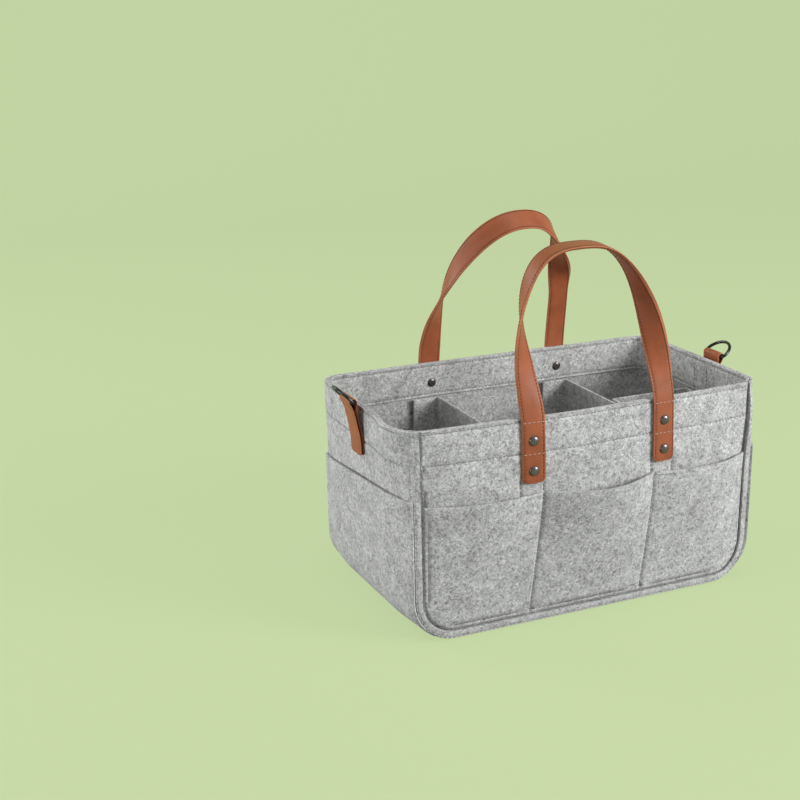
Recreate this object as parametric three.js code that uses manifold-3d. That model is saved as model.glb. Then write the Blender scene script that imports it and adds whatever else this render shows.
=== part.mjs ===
// Felt nursery caddy: a soft open box of grey felt with slip pockets outside, hook-taped
// dividers inside, two riveted leather handles, and a leather tab with a D-ring at each end.
// Millimetres. +Z is up, +X runs along the box, the front faces -Y. The origin is on the
// floor under the middle of the box.

import * as THREE from 'three';
import { mergeVertices } from 'three/addons/utils/BufferGeometryUtils.js';
import Module from 'manifold-3d';

const wasm = await Module();
wasm.setup();

// Felt box, measured outside at the rim
const WIDTH = 350;
const DEPTH = 195;
const HEIGHT = 190;
const FELT = 2.5;
const CLEAR = 0.3;
const BASE_CORNER = 40; // radius where each end turns under into the base
const EDGE_ROUND = 5; // radius where the end-and-base strip turns to the front and back
const SEAM_IN = 8; // from the outside of the strip to its seam with a panel
const SEAM_FIN = 5; // how far the two raw seam edges stand out
const FIN_FADE = 22; // height under the rim in which the seam is pressed flat
const FIN_AT_RIM = 1; // what still stands out at the rim

// How the felt gives
const TAPER_X = 2; // how much each end comes in from rim to base
const TAPER_Y = 1; // the same for the front and back
const FRONT_BOW = 6; // outward bow of the rim
const BACK_BOW = 0;
const END_BOW = 4;
const BELLY = 5; // extra bow half way up the front and back
const CORNER_SLACK = 3; // how far each upright corner is drawn in
const CORNER_REACH = 45;

// Facing sewn inside the rim
const FACING_DROP = 33;
const FACING_CORNER = 8;

// Slip pockets
const MOUTH_DROP = 69.5; // from the rim down to the mouth
const STITCH_LEFT = [-53, -63]; // x of the stitched divisions at the mouth and at the foot
const STITCH_RIGHT = [59, 51];
const GAPES = [9, 19, 10]; // how far the pockets stand open: left, middle, right
const END_MOUTH_DROP = 60; // the end pockets' mouths, at the front
const END_SLANT = 14; // how much lower they are at the back
const END_GAPE = 7;
const END_POCKET_ARCS = 4; // facets of the base corner that an end pocket follows

// Dividers
const DIVIDER_LEFT_X = -58.5;
const DIVIDER_RIGHT_X = 82;
const CROSS_Y = 12;
const DIVIDER_DROP = 1; // below the facing
const FLANGE = 27;
const TAPE = 2.6;
const TAPE_WIDTH = 18;
const TAPE_FOOT = 22;
const CROSS_TAPE_FOOT = 4; // above the top of the base corner
const TAPE_HEAD = 100;

// Handles
const STRAP = 22;
const LEATHER = 3;
const STRAP_EDGE = 0.6; // chamfer along the strap
const STRAP_DROP = 56.5; // how far the sewn ends reach below the rim
const STRAP_FOOT_ROUND = 5;
const RISE = 138.5; // top of the handle above the rim
const FOLD_GAP = 0.4; // between the sewn end and the free loop
const FOLD_BEVEL = 18; // degrees that the loop's feet are cut back, so that it can lean further in

// Each handle: x of its feet, how far its top leans over the box and sways to the right, the
// powers of that lean and of its arch (2 is an ellipse, more is squarer), how far its left leg
// bulges half way up, the degrees the strap turns on its way up, and the shares of the rise in
// which its left and right leg do so
const FRONT_HANDLE = {
  feet: [-63, 68], lean: 22, leanPower: 1, sway: -14, arch: 2.9, bulge: 2.5,
  turn: 94, left: [0, 1], right: [0, 1],
};
const BACK_HANDLE = {
  feet: [-64.5, 71.5], lean: 53, leanPower: 1.75, sway: 4.5, arch: 2.3, bulge: 0,
  turn: 136, left: [0, 1], right: [0.38, 1],
};

// Rivets
const RIVET_DROPS = { lower: 45.3, upper: 19 }; // below the rim
const RIVET_CAP = 4.7;
const RIVET_DOME = 2.3;
const RIVET_SHANK = 1.8;
const RIVET_BACK = 4.4;
const RIVET_BACK_DOME = 1.6;

// D-ring tabs
const TAB_YS = { left: -2, right: -8 };
const TAB_WIDTH = 24.6;
const TAB_LEATHER = 2.2;
const TAB_DROP = 43; // how far the tab reaches below the rim
const TAB_FLAT_DROP = 28; // the two layers lie flat on the felt up to here
const TAB_BEND = 8; // how far below and above that they bend
const TAB_BEND_STEPS = 4;
const LOOP_UPS = { left: 6, right: 3 }; // middle of each loop, above the rim
const LOOP_OUT = 9; // and out from the felt
const LOOP_SLACK = 0.8;
const RING_WIRE = 3;
const RING_WIDTH = 29; // between the middles of its legs
const RING_DEPTH = 17; // from the middle of the bar to the middle of the bow
const RING_CORNER = 3;
const RING_TILTS = { left: 46, right: 35 }; // degrees above level

// Facets
const FACET = 27; // length of a felt facet
const CORNER_STEPS = 3; // facets in an eighth of a turn
const ARCH_STEPS = 30;
const ROUND_SIDES = 12;
const WIRE_SIDES = 8;
const RING_BOW_STEPS = 14;
const POCKET_ROWS = 4; // above the base corner
const POUCH_COLUMNS = [4, 6, 4];
const CROSS_WEB_STEPS = 4;

const HALF_W = WIDTH / 2;
const HALF_D = DEPTH / 2;
const FACING_Z = HEIGHT - FACING_DROP;
const DIVIDER_TOP = FACING_Z - DIVIDER_DROP;
const MOUTH = HEIGHT - MOUTH_DROP;
const END_MOUTH = HEIGHT - END_MOUTH_DROP;
const STRAP_FOOT_Z = HEIGHT - STRAP_DROP;
const RIVET_ZS = { lower: HEIGHT - RIVET_DROPS.lower, upper: HEIGHT - RIVET_DROPS.upper };
const TAB_FOOT_Z = HEIGHT - TAB_DROP;
const TAB_FLAT_Z = HEIGHT - TAB_FLAT_DROP;
const TAPED = TAPE + 2 * CLEAR; // room behind a flange
const LEFT = -1;
const RIGHT = 1;
const FRONT = -1;
const BACK = 1;

const COLOURS = {
  felt: { color: 0xa6a7a5, roughness: 0.95, metalness: 0 },
  leather: { color: 0xa5562c, roughness: 0.55, metalness: 0 },
  metal: { color: 0x3a3a3c, roughness: 0.3, metalness: 1 },
  tape: { color: 0x8f908e, roughness: 0.9, metalness: 0 },
};

const caddy = new THREE.Group();

function add(name, geometry, look) {
  const mesh = new THREE.Mesh(geometry, new THREE.MeshStandardMaterial(COLOURS[look]));
  mesh.name = name;
  caddy.add(mesh);
}

const clamp = THREE.MathUtils.clamp;
const lerp = THREE.MathUtils.lerp;
const radians = THREE.MathUtils.degToRad;
const smooth = (value, from, to) => THREE.MathUtils.smoothstep(value, from, to);

// How much of the rim's bow a wall has at a height.
const filledAt = (z) => smooth(z / HEIGHT, 0, 0.9);

// From the crisp box to the soft one: taper, bowed walls and slack corners. Pieces that lie on
// each other take the same shift, so the gaps between them stay.
function soften(p) {
  const up = clamp(p.z / HEIGHT, 0, 1);
  const [sideX, sideY] = [Math.sign(p.x), Math.sign(p.y)];
  const [farX, farY] = [Math.abs(p.x), Math.abs(p.y)];
  const filled = filledAt(p.z);
  const rimBow = sideY === FRONT ? FRONT_BOW : BACK_BOW;
  const wallBow = (rimBow * filled + BELLY * Math.sin(Math.PI * up)) *
    (1 - Math.min(farX / (HALF_W - SEAM_IN), 1) ** 2) *
    smooth(farY, 0.2 * HALF_D, 0.7 * HALF_D);
  const endBow = END_BOW * filled *
    (1 - Math.min(farY / HALF_D, 1) ** 4) *
    smooth(farX, 0.6 * HALF_W, 0.9 * HALF_W);
  const slack = CORNER_SLACK *
    smooth(farX, HALF_W - CORNER_REACH, HALF_W) *
    smooth(farY, HALF_D - CORNER_REACH, HALF_D);
  return new THREE.Vector3(
    p.x * (1 - (TAPER_X / HALF_W) * (1 - up)) + sideX * (endBow - slack),
    p.y * (1 - (TAPER_Y / HALF_D) * (1 - up)) + sideY * (wallBow - slack),
    p.z,
  );
}

const soft = (x, y, z) => soften(new THREE.Vector3(x, y, z));

// Closed body from points and triangles, turned the right way out.
function body(points, triangles) {
  const a = new THREE.Vector3();
  let volume = 0;
  for (const [i, j, k] of triangles) {
    volume += a.crossVectors(points[i], points[j]).dot(points[k]);
  }
  const index = volume < 0 ? triangles.map(([i, j, k]) => [i, k, j]) : triangles;
  const geometry = new THREE.BufferGeometry();
  geometry.setAttribute('position', new THREE.Float32BufferAttribute(points.flatMap((p) => p.toArray()), 3));
  geometry.setIndex(index.flat());
  geometry.computeVertexNormals();
  return geometry;
}

// Quads of a grid of nodes, column by column; a ring joins its last column to its first.
function gridQuads(columns, rows, ring = false) {
  const quads = [];
  for (let i = 0; i < (ring ? columns : columns - 1); i++) {
    const next = (i + 1) % columns;
    for (let j = 0; j < rows - 1; j++) {
      quads.push([i * rows + j, next * rows + j, next * rows + j + 1, i * rows + j + 1]);
    }
  }
  return quads;
}

// Sheet of felt or leather: the same quads on both faces, closed along every free edge.
function sheet(quads, face, reverse) {
  const count = face.length;
  const triangles = [];
  const quad = (a, b, c, d) => triangles.push([a, b, c], [a, c, d]);
  const edges = new Map();
  for (const [a, b, c, d] of quads) {
    quad(a, b, c, d);
    quad(d + count, c + count, b + count, a + count);
    for (const [m, n] of [[a, b], [b, c], [c, d], [d, a]]) {
      if (!edges.delete(`${n} ${m}`)) {
        edges.set(`${m} ${n}`, [m, n]);
      }
    }
  }
  for (const [m, n] of edges.values()) {
    quad(n, m, m + count, n + count);
  }
  return body([...face, ...reverse], triangles);
}

// Body swept through rings of equal count; open ends are capped.
function loft(rings, closed = false) {
  const sides = rings[0].length;
  const triangles = [];
  const last = closed ? rings.length : rings.length - 1;
  for (let i = 0; i < last; i++) {
    const next = (i + 1) % rings.length;
    for (let s = 0; s < sides; s++) {
      const t = (s + 1) % sides;
      triangles.push([i * sides + s, i * sides + t, next * sides + t]);
      triangles.push([i * sides + s, next * sides + t, next * sides + s]);
    }
  }
  if (!closed) {
    const end = (rings.length - 1) * sides;
    for (let s = 1; s < sides - 1; s++) {
      triangles.push([0, s + 1, s], [end, end + s, end + s + 1]);
    }
  }
  return body(rings.flat(), triangles);
}

function toSolid(geometry) {
  const bare = geometry.clone();
  bare.deleteAttribute('normal');
  bare.deleteAttribute('uv');
  const merged = mergeVertices(bare);
  return new wasm.Manifold(new wasm.Mesh({
    numProp: 3,
    vertProperties: merged.attributes.position.array,
    triVerts: new Uint32Array(merged.index.array),
  }));
}

function cut(geometry, tools) {
  let solid = toSolid(geometry);
  for (const tool of tools) {
    solid = solid.subtract(toSolid(tool));
  }
  const mesh = solid.getMesh();
  const result = new THREE.BufferGeometry();
  result.setAttribute('position', new THREE.BufferAttribute(mesh.vertProperties, 3));
  result.setIndex(new THREE.BufferAttribute(mesh.triVerts, 1));
  result.computeVertexNormals();
  return result;
}

const steps = (length) => Math.max(2, Math.round(length / FACET));
const spaced = (from, to, count) => Array.from({ length: count + 1 }, (_, i) => lerp(from, to, i / count));

const SIDE_ZS = spaced(HEIGHT, BASE_CORNER, steps(HEIGHT - BASE_CORNER));
// Lines up both ends that the pieces lying on each other share, so that their facets match.
const END_LINES = [-0.82, -0.55, -0.25, 0.25, 0.55, 0.82].map((share) => share * (HALF_D - EDGE_ROUND));
const BASE_XS = spaced(BASE_CORNER - HALF_W, HALF_W - BASE_CORNER, steps(WIDTH - 2 * BASE_CORNER));

// Stations down the left end, along the base and up the right end, each with its inward normal.
function strapStations() {
  const left = SIDE_ZS.slice(0, -1).map((z) => ({ x: -HALF_W, z, nx: 1, nz: 0 }));
  for (let k = 0; k <= 2 * CORNER_STEPS; k++) {
    const turn = (Math.PI / 4) * (k / CORNER_STEPS);
    const [nx, nz] = [Math.cos(turn), Math.sin(turn)];
    left.push({ x: BASE_CORNER * (1 - nx) - HALF_W, z: BASE_CORNER * (1 - nz), nx, nz });
  }
  const base = BASE_XS.slice(1, -1).map((x) => ({ x, z: 0, nx: 0, nz: 1 }));
  const right = left.map((s) => ({ ...s, x: -s.x, nx: -s.nx })).reverse();
  return [...left, ...base, ...right];
}

const STATIONS = strapStations();
const inward = (s, inset) => [s.x + inset * s.nx, s.z + inset * s.nz];
const finHeight = (z) => lerp(SEAM_FIN, FIN_AT_RIM, smooth(z, HEIGHT - FIN_FADE, HEIGHT));

// One strip of felt makes both ends and the base. Its long edges turn to the front and back
// and stand out as the seam.
function gusset() {
  const fin = SEAM_IN - CLEAR / 2;
  const edge = [
    { out: [SEAM_FIN, fin - FELT], in: [SEAM_FIN, fin], tip: true },
    { out: [0, fin - FELT], in: [-FELT, fin] },
  ];
  for (let k = 0; k <= CORNER_STEPS; k++) {
    const turn = (Math.PI / 2) * (k / CORNER_STEPS);
    const [along, down] = [EDGE_ROUND * (Math.cos(turn) - 1), EDGE_ROUND * (1 - Math.sin(turn))];
    edge.push({ out: [along, down], in: [along - FELT * Math.cos(turn), down + FELT * Math.sin(turn)] });
  }
  const outer = [];
  const inner = [];
  for (const s of STATIONS) {
    const put = (list, y, inset) => {
      const [x, z] = inward(s, inset);
      list.push(soft(x, y, z));
    };
    const putEdge = (point, side) => {
      const reach = point.tip ? finHeight(s.z + SEAM_IN * s.nz) : point.out[0];
      put(outer, side * (HALF_D + reach), point.out[1]);
      put(inner, side * (HALF_D + (point.tip ? reach : point.in[0])), point.in[1]);
    };
    edge.forEach((point) => putEdge(point, FRONT));
    for (const y of END_LINES) {
      put(outer, y, 0);
      put(inner, y, FELT);
    }
    [...edge].reverse().forEach((point) => putEdge(point, BACK));
  }
  return sheet(gridQuads(STATIONS.length, 2 * edge.length + END_LINES.length), outer, inner);
}

// Grid lines across one rounded bottom corner, spaced so that the edge falls into equal arcs.
function cornerLines(radius) {
  return Array.from({ length: CORNER_STEPS + 1 }, (_, k) =>
    Math.SQRT2 * radius * Math.sin((Math.PI / 4) * (k / CORNER_STEPS)));
}

// Upright grid with round bottom corners, `inset` inside the outline of the box.
function uprightGrid(inset, middleXs, sideZs) {
  const radius = BASE_CORNER - inset;
  const lines = cornerLines(radius);
  const centreX = HALF_W - BASE_CORNER;
  const cornerXs = lines.slice(1).map((q) => centreX + q);
  const xs = [...cornerXs.map((x) => -x).reverse(), ...middleXs, ...cornerXs];
  const zs = [...lines.slice(1).map((q) => BASE_CORNER - q).reverse(), ...sideZs];
  const points = [];
  for (const x of xs) {
    for (const z of zs) {
      const p = Math.max(0, Math.abs(x) - centreX);
      const q = Math.max(0, BASE_CORNER - z);
      const roundedP = p * Math.sqrt(1 - (q * q) / (2 * radius * radius));
      const roundedQ = q * Math.sqrt(1 - (p * p) / (2 * radius * radius));
      points.push([x + Math.sign(x) * (roundedP - p), z + q - roundedQ]);
    }
  }
  return { columns: xs.length, rows: zs.length, points };
}

// Front or back panel: a plate whose sides and foot turn out as its half of the seam.
function panel(side) {
  const inset = SEAM_IN + CLEAR / 2;
  const { columns, rows, points } = uprightGrid(inset, BASE_XS, [...SIDE_ZS].reverse());
  const rim = [];
  for (let j = rows - 1; j > 0; j--) rim.push(j);
  for (let i = 0; i < columns; i++) rim.push(i * rows);
  for (let j = 1; j < rows; j++) rim.push((columns - 1) * rows + j);
  const inner = points.map(([x, z]) => soft(x, side * (HALF_D - FELT), z));
  const outer = points.map(([x, z]) => soft(x, side * HALF_D, z));
  const quads = gridQuads(columns, rows);
  STATIONS.forEach((s, k) => {
    const [x, z] = inward(s, inset);
    const [xIn, zIn] = inward(s, inset + FELT);
    const tip = side * (HALF_D + finHeight(z));
    outer[rim[k]] = soft(xIn, side * HALF_D, zIn);
    inner.push(soft(x, tip, z));
    outer.push(soft(xIn, tip, zIn));
    if (k > 0) {
      quads.push([rim[k], rim[k - 1], inner.length - 2, inner.length - 1]);
    }
  });
  const { feet } = side === FRONT ? FRONT_HANDLE : BACK_HANDLE;
  return cut(sheet(quads, inner, outer), rivetHoles(side, feet, Object.values(RIVET_ZS)));
}

// Wide slip pocket on a panel, stitched down into three.
function slipPocket(side, gapes) {
  const inset = SEAM_IN + CLEAR / 2 + FELT + CLEAR;
  const foot = inset;
  const edge = HALF_W - inset;
  const lineX = (ends, z) => lerp(ends[1], ends[0], clamp(z / MOUTH, 0, 1));
  const corner = HALF_W - BASE_CORNER;
  const columnsAt = (z) => [
    ...spaced(-corner, lineX(STITCH_LEFT, z), POUCH_COLUMNS[0]),
    ...spaced(lineX(STITCH_LEFT, z), lineX(STITCH_RIGHT, z), POUCH_COLUMNS[1]).slice(1),
    ...spaced(lineX(STITCH_RIGHT, z), corner, POUCH_COLUMNS[2]).slice(1),
  ];
  const zs = spaced(BASE_CORNER, MOUTH, POCKET_ROWS);
  const { columns, rows, points } = uprightGrid(inset, columnsAt(MOUTH), zs);
  const middle = columnsAt(MOUTH).length;
  const outer = [];
  const inner = [];
  points.forEach(([gridX, z], n) => {
    const column = Math.floor(n / rows) - CORNER_STEPS;
    const x = column >= 0 && column < middle ? columnsAt(z)[column] : gridX;
    const bounds = [-edge, lineX(STITCH_LEFT, z), lineX(STITCH_RIGHT, z), edge];
    const pouch = x < bounds[1] ? 0 : x < bounds[2] ? 1 : 2;
    const share = clamp((x - bounds[pouch]) / (bounds[pouch + 1] - bounds[pouch]), 0, 1);
    const open = gapes[pouch] * Math.sin(Math.PI * share) * clamp((z - foot) / (MOUTH - foot), 0, 1) ** 1.5;
    const sideX = side === FRONT ? x : -x;
    inner.push(soft(sideX, side * (HALF_D + CLEAR + open), z));
    outer.push(soft(sideX, side * (HALF_D + CLEAR + FELT + open), z));
  });
  return sheet(gridQuads(columns, rows), outer, inner);
}

// Pocket on one end, which wraps round both upright edges and follows the base corner under.
function endPocket(side) {
  const flat = HALF_D - EDGE_ROUND;
  const mouthAt = (y) => END_MOUTH - END_SLANT * ((y / flat + 1) / 2) ** 2;
  const path = spaced(0, 1, POCKET_ROWS).map((down) =>
    ({ x: 0, zAt: (y) => lerp(mouthAt(y), BASE_CORNER, down), nx: 1, nz: 0 }));
  for (let k = 1; k <= END_POCKET_ARCS; k++) {
    const turn = (Math.PI / 4) * (k / CORNER_STEPS);
    const [nx, nz] = [Math.cos(turn), Math.sin(turn)];
    path.push({ x: BASE_CORNER * (1 - nx), zAt: () => BASE_CORNER * (1 - nz), nx, nz });
  }
  const wrap = spaced(Math.PI / 2, 0, CORNER_STEPS).slice(1, -1);
  const across = [
    ...[...wrap].reverse().map((turn) => ({ y: -flat, turn: Math.PI - turn })),
    ...[-flat, ...END_LINES, flat].map((y) => ({ y, turn: Math.PI / 2 })),
    ...wrap.map((turn) => ({ y: flat, turn })),
  ];
  const outer = [];
  const inner = [];
  for (const s of path) {
    for (const { y, turn } of across) {
      const upright = s.zAt(y);
      const open = END_GAPE * Math.cos((Math.PI / 2) * (y / flat)) * (upright / mouthAt(y));
      for (const [list, out] of [[inner, CLEAR + open], [outer, CLEAR + FELT + open]]) {
        const inset = EDGE_ROUND - (EDGE_ROUND + out) * Math.sin(turn);
        const [x, z] = [s.x + inset * s.nx, upright + inset * s.nz];
        list.push(soft(side * (HALF_W - x), y + (EDGE_ROUND + out) * Math.cos(turn), z));
      }
    }
  }
  return sheet(gridQuads(path.length, across.length), outer, inner);
}

// Closed band of felt inside the rim.
function rimFacing() {
  const halfX = HALF_W - FELT - CLEAR;
  const halfY = HALF_D - FELT - CLEAR;
  const flatX = halfX - FACING_CORNER;
  const flatY = halfY - FACING_CORNER;
  const zs = spaced(FACING_Z, HEIGHT, 2);
  const round = [];
  for (const [cx, cy, quarter] of [[1, -1, -1], [1, 1, 0], [-1, 1, 1], [-1, -1, 2]]) {
    for (const turn of spaced(quarter, quarter + 1, CORNER_STEPS).map((share) => share * (Math.PI / 2))) {
      round.push({ x: cx * flatX, y: cy * flatY, nx: Math.cos(turn), ny: Math.sin(turn) });
    }
    const longRun = spaced(-1, 1, steps(2 * flatX)).slice(1, -1).map((share) =>
      ({ x: -cx * flatX * share, y: cy * flatY, nx: 0, ny: cy }));
    const endRun = END_LINES.map((y) => ({ x: cx * flatX, y: cx * y, nx: cx, ny: 0 }));
    round.push(...(cx === cy ? longRun : endRun));
  }
  const outer = [];
  const inner = [];
  for (const { x, y, nx, ny } of round) {
    for (const z of zs) {
      outer.push(soft(x + FACING_CORNER * nx, y + FACING_CORNER * ny, z));
      inner.push(soft(x + (FACING_CORNER - FELT) * nx, y + (FACING_CORNER - FELT) * ny, z));
    }
  }
  const band = sheet(gridQuads(round.length, zs.length, true), outer, inner);
  const through = Object.values(RIVET_ZS).filter((z) => z > FACING_Z);
  const frontHoles = rivetHoles(FRONT, FRONT_HANDLE.feet, through);
  const backHoles = rivetHoles(BACK, BACK_HANDLE.feet, through);
  return cut(band, [...frontHoles, ...backHoles]);
}

// Divider from front to back, with a flange folded along each wall towards -X.
function longDivider(webX) {
  const reach = HALF_D - FELT - TAPED;
  const tipX = webX + FELT / 2 - FLANGE;
  const ribbon = [{ a: [tipX, -reach], b: [tipX, FELT - reach] }];
  for (const y of spaced(-reach, reach, 8)) {
    const within = clamp(y, FELT - reach, reach - FELT);
    ribbon.push({ a: [webX + FELT / 2, y], b: [webX - FELT / 2, within] });
  }
  ribbon.push({ a: [tipX, reach], b: [tipX, reach - FELT] });
  const zs = spaced(FELT + 2 * CLEAR, DIVIDER_TOP, 8);
  const face = ribbon.flatMap(({ a }) => zs.map((z) => soft(a[0], a[1], z)));
  const reverse = ribbon.flatMap(({ b }) => zs.map((z) => soft(b[0], b[1], z)));
  return sheet(gridQuads(ribbon.length, zs.length), face, reverse);
}

// Short divider from the right-hand long divider to the right end. Its flanges fold towards
// -Y, and its foot follows the base corner, under the flange on the end.
function crossDivider() {
  const fromX = DIVIDER_RIGHT_X + FELT / 2 + TAPED;
  const toX = HALF_W - FELT - TAPED;
  const tipY = CROSS_Y + FELT / 2 - FLANGE;
  const lowZs = spaced(FELT + 2 * CLEAR, BASE_CORNER, 3);
  const zs = [...lowZs.slice(0, -1), ...spaced(BASE_CORNER, DIVIDER_TOP, 4)];
  const endAt = (z) => {
    const drop = Math.max(0, BASE_CORNER - z);
    const radius = BASE_CORNER - FELT - TAPED;
    return HALF_W - BASE_CORNER + Math.sqrt(Math.max(0, radius * radius - drop * drop));
  };
  const face = [];
  const reverse = [];
  const put = (a, b, z) => {
    face.push(soft(a[0], a[1], z));
    reverse.push(soft(b[0], b[1], z));
  };
  const [backY, frontY] = [CROSS_Y + FELT / 2, CROSS_Y - FELT / 2];
  zs.forEach((z) => put([fromX, tipY], [fromX + FELT, tipY], z));
  for (const share of spaced(0, 1, CROSS_WEB_STEPS)) {
    for (const z of zs) {
      const end = Math.min(toX, endAt(z));
      const flanged = z >= BASE_CORNER ? FELT : 0;
      const x = lerp(fromX, end, share);
      put([x, backY], [lerp(fromX + FELT, end - flanged, share), frontY], z);
    }
  }
  zs.forEach((z) => put([toX, tipY], [toX - FELT, tipY], z));
  const rows = zs.length;
  const endFold = (CROSS_WEB_STEPS + 1) * rows;
  const quads = gridQuads(CROSS_WEB_STEPS + 3, rows)
    .filter(([a]) => a < endFold || zs[a - endFold] >= BASE_CORNER);
  return sheet(quads, ...usedOnly(quads, face, reverse));
}

// Nodes that no quad uses are dropped, and the quads renumbered in place.
function usedOnly(quads, face, reverse) {
  const used = [...new Set(quads.flat())].sort((m, n) => m - n);
  const place = new Map(used.map((node, k) => [node, k]));
  quads.forEach((quad) => quad.forEach((node, k) => { quad[k] = place.get(node); }));
  return [used.map((node) => face[node]), used.map((node) => reverse[node])];
}

// Strip of hook tape behind a flange, between the points `from` and `to` of its plan.
function hookTape(from, to, outX, outY, foot) {
  const zs = spaced(foot, TAPE_HEAD, 5);
  const places = spaced(0, 1, 2).map((share) => [lerp(from[0], to[0], share), lerp(from[1], to[1], share)]);
  const face = places.flatMap(([x, y]) => zs.map((z) => soft(x, y, z)));
  const reverse = places.flatMap(([x, y]) => zs.map((z) => soft(x + outX * TAPE, y + outY * TAPE, z)));
  return sheet(gridQuads(places.length, zs.length), face, reverse);
}

// Place of a rivet on its panel, turned the way the felt faces there.
function rivetPlace(side, x, z) {
  const at = (right, up) => soft(x + right, side * HALF_D, z + up);
  const across = at(1, 0).sub(at(-1, 0));
  const upward = at(0, 1).sub(at(0, -1));
  const out = side === FRONT ? across.cross(upward) : upward.cross(across);
  const turn = new THREE.Quaternion().setFromUnitVectors(new THREE.Vector3(0, 1, 0), out.normalize());
  return new THREE.Matrix4().compose(at(0, 0), turn, new THREE.Vector3(1, 1, 1));
}

function rivetHoles(side, feet, zs) {
  const radius = RIVET_SHANK + CLEAR;
  return feet.flatMap((x) => zs.map((z) =>
    new THREE.CylinderGeometry(radius, radius, HALF_D / 2, ROUND_SIDES)
      .applyMatrix4(rivetPlace(side, x, z))));
}

// Rivet with a domed cap on the strap, a shank through the felt and a domed back inside.
function rivet(side, x, z) {
  const capAt = CLEAR + LEATHER + CLEAR;
  const layers = z > FACING_Z ? 2 * FELT + CLEAR : FELT;
  const backAt = -(layers + CLEAR);
  const profile = [];
  const dome = (radius, height, from, sign) => [0, 0.35, 0.65, 0.9].map((share) => {
    const turn = share * (Math.PI / 2);
    return [radius * Math.sin(turn), from + sign * height * Math.cos(turn)];
  });
  profile.push(...dome(RIVET_CAP, RIVET_DOME, capAt, 1), [RIVET_CAP, capAt]);
  profile.push([RIVET_SHANK, capAt], [RIVET_SHANK, backAt]);
  profile.push([RIVET_BACK, backAt], ...dome(RIVET_BACK, RIVET_BACK_DOME, backAt, -1).reverse());
  const lathe = new THREE.LatheGeometry(profile.map(([r, out]) => new THREE.Vector2(r, out)), ROUND_SIDES);
  lathe.deleteAttribute('normal');
  lathe.deleteAttribute('uv');
  const merged = mergeVertices(lathe, 1e-3).applyMatrix4(rivetPlace(side, x, z));
  const { position } = merged.attributes;
  const points = Array.from({ length: position.count }, (_, n) =>
    new THREE.Vector3().fromBufferAttribute(position, n));
  const triangles = [];
  for (let n = 0; n < merged.index.count; n += 3) {
    const [a, b, c] = [0, 1, 2].map((k) => merged.index.getX(n + k));
    if (a !== b && b !== c && c !== a) {
      triangles.push([a, b, c]);
    }
  }
  return body(points, triangles);
}

// Sewn end of a handle strap, flat on the panel under the rim.
function strapEnd(side, x) {
  const top = HEIGHT - FOLD_GAP / 2;
  const roundTop = STRAP_FOOT_Z + STRAP_FOOT_ROUND;
  const turnIn = spaced(0, Math.PI / 2, 3).map((turn) => roundTop - STRAP_FOOT_ROUND * Math.cos(turn));
  const zs = [...turnIn, ...spaced(roundTop, top, 3).slice(1)];
  const outer = [];
  const inner = [];
  for (const z of zs) {
    const below = clamp(roundTop - z, 0, STRAP_FOOT_ROUND);
    const half = STRAP / 2 - STRAP_FOOT_ROUND + Math.sqrt(STRAP_FOOT_ROUND ** 2 - below ** 2);
    for (const across of spaced(x - half, x + half, 2)) {
      inner.push(soft(across, side * (HALF_D + CLEAR), z));
      outer.push(soft(across, side * (HALF_D + CLEAR + LEATHER), z));
    }
  }
  return cut(sheet(gridQuads(zs.length, 3), outer, inner), rivetHoles(side, [x], Object.values(RIVET_ZS)));
}

// Free loop of a handle: an arch that leans over the box. The strap starts flat on the panel
// and turns on its way up, so that its flat side is up where a hand holds it.
function handleLoop(side, { feet, lean, leanPower, sway, arch, bulge, turn, left, right }) {
  const middleX = (feet[0] + feet[1]) / 2;
  const halfSpan = (feet[1] - feet[0]) / 2;
  const foot = HALF_D + CLEAR + LEATHER / 2;
  const bevel = radians(FOLD_BEVEL);
  const cutFoot = new THREE.Vector3(0, side * Math.sin(bevel), Math.cos(bevel));
  const start = HEIGHT + FOLD_GAP / 2 + (LEATHER / 2) * Math.sin(bevel);
  const place = (angle) => {
    const across = -Math.sign(Math.cos(angle)) * Math.abs(Math.cos(angle)) ** (2 / arch);
    const up = Math.abs(Math.sin(angle)) ** (2 / arch);
    const x = middleX + halfSpan * across;
    const below = soft(x, side * foot, HEIGHT);
    const out = across < 0 ? bulge * Math.sin(Math.PI * up) ** 2 : 0;
    return new THREE.Vector3(x + sway * up - out, below.y - side * lean * up ** leanPower, start + RISE * up);
  };
  const path = new THREE.CatmullRomCurve3(spaced(0, Math.PI, 4 * ARCH_STEPS).map(place));
  const outline = strapSection();
  const rings = spaced(0, 1, ARCH_STEPS).map((share) => {
    const at = path.getPointAt(share);
    const isFoot = share === 0 || share === 1;
    const along = isFoot ? cutFoot.clone().multiplyScalar(1 - 2 * share) : path.getTangentAt(share);
    const up = (at.z - start) / RISE;
    const turned = smooth(up, ...(share < 0.5 ? left : right));
    const angle = radians(90 - turn * turned);
    const inside = new THREE.Vector3(along.z, 0, -along.x).normalize();
    const facing = inside.multiplyScalar(Math.cos(angle)).add(new THREE.Vector3(0, -Math.sin(angle), 0));
    const normal = facing.addScaledVector(along, -facing.dot(along)).normalize();
    const width = new THREE.Vector3().crossVectors(along, normal);
    return outline.map(([a, b]) => at.clone().addScaledVector(width, a).addScaledVector(normal, b));
  });
  return loft(rings);
}

// Section of the handle strap, across its width and its thickness, with its edges taken off.
function strapSection() {
  const [w, t, c] = [STRAP / 2, LEATHER / 2, STRAP_EDGE];
  const half = [[w, c - t], [w, t - c], [w - c, t], [c - w, t]];
  return [...half, ...half.map(([a, b]) => [-a, -b])];
}

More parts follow.
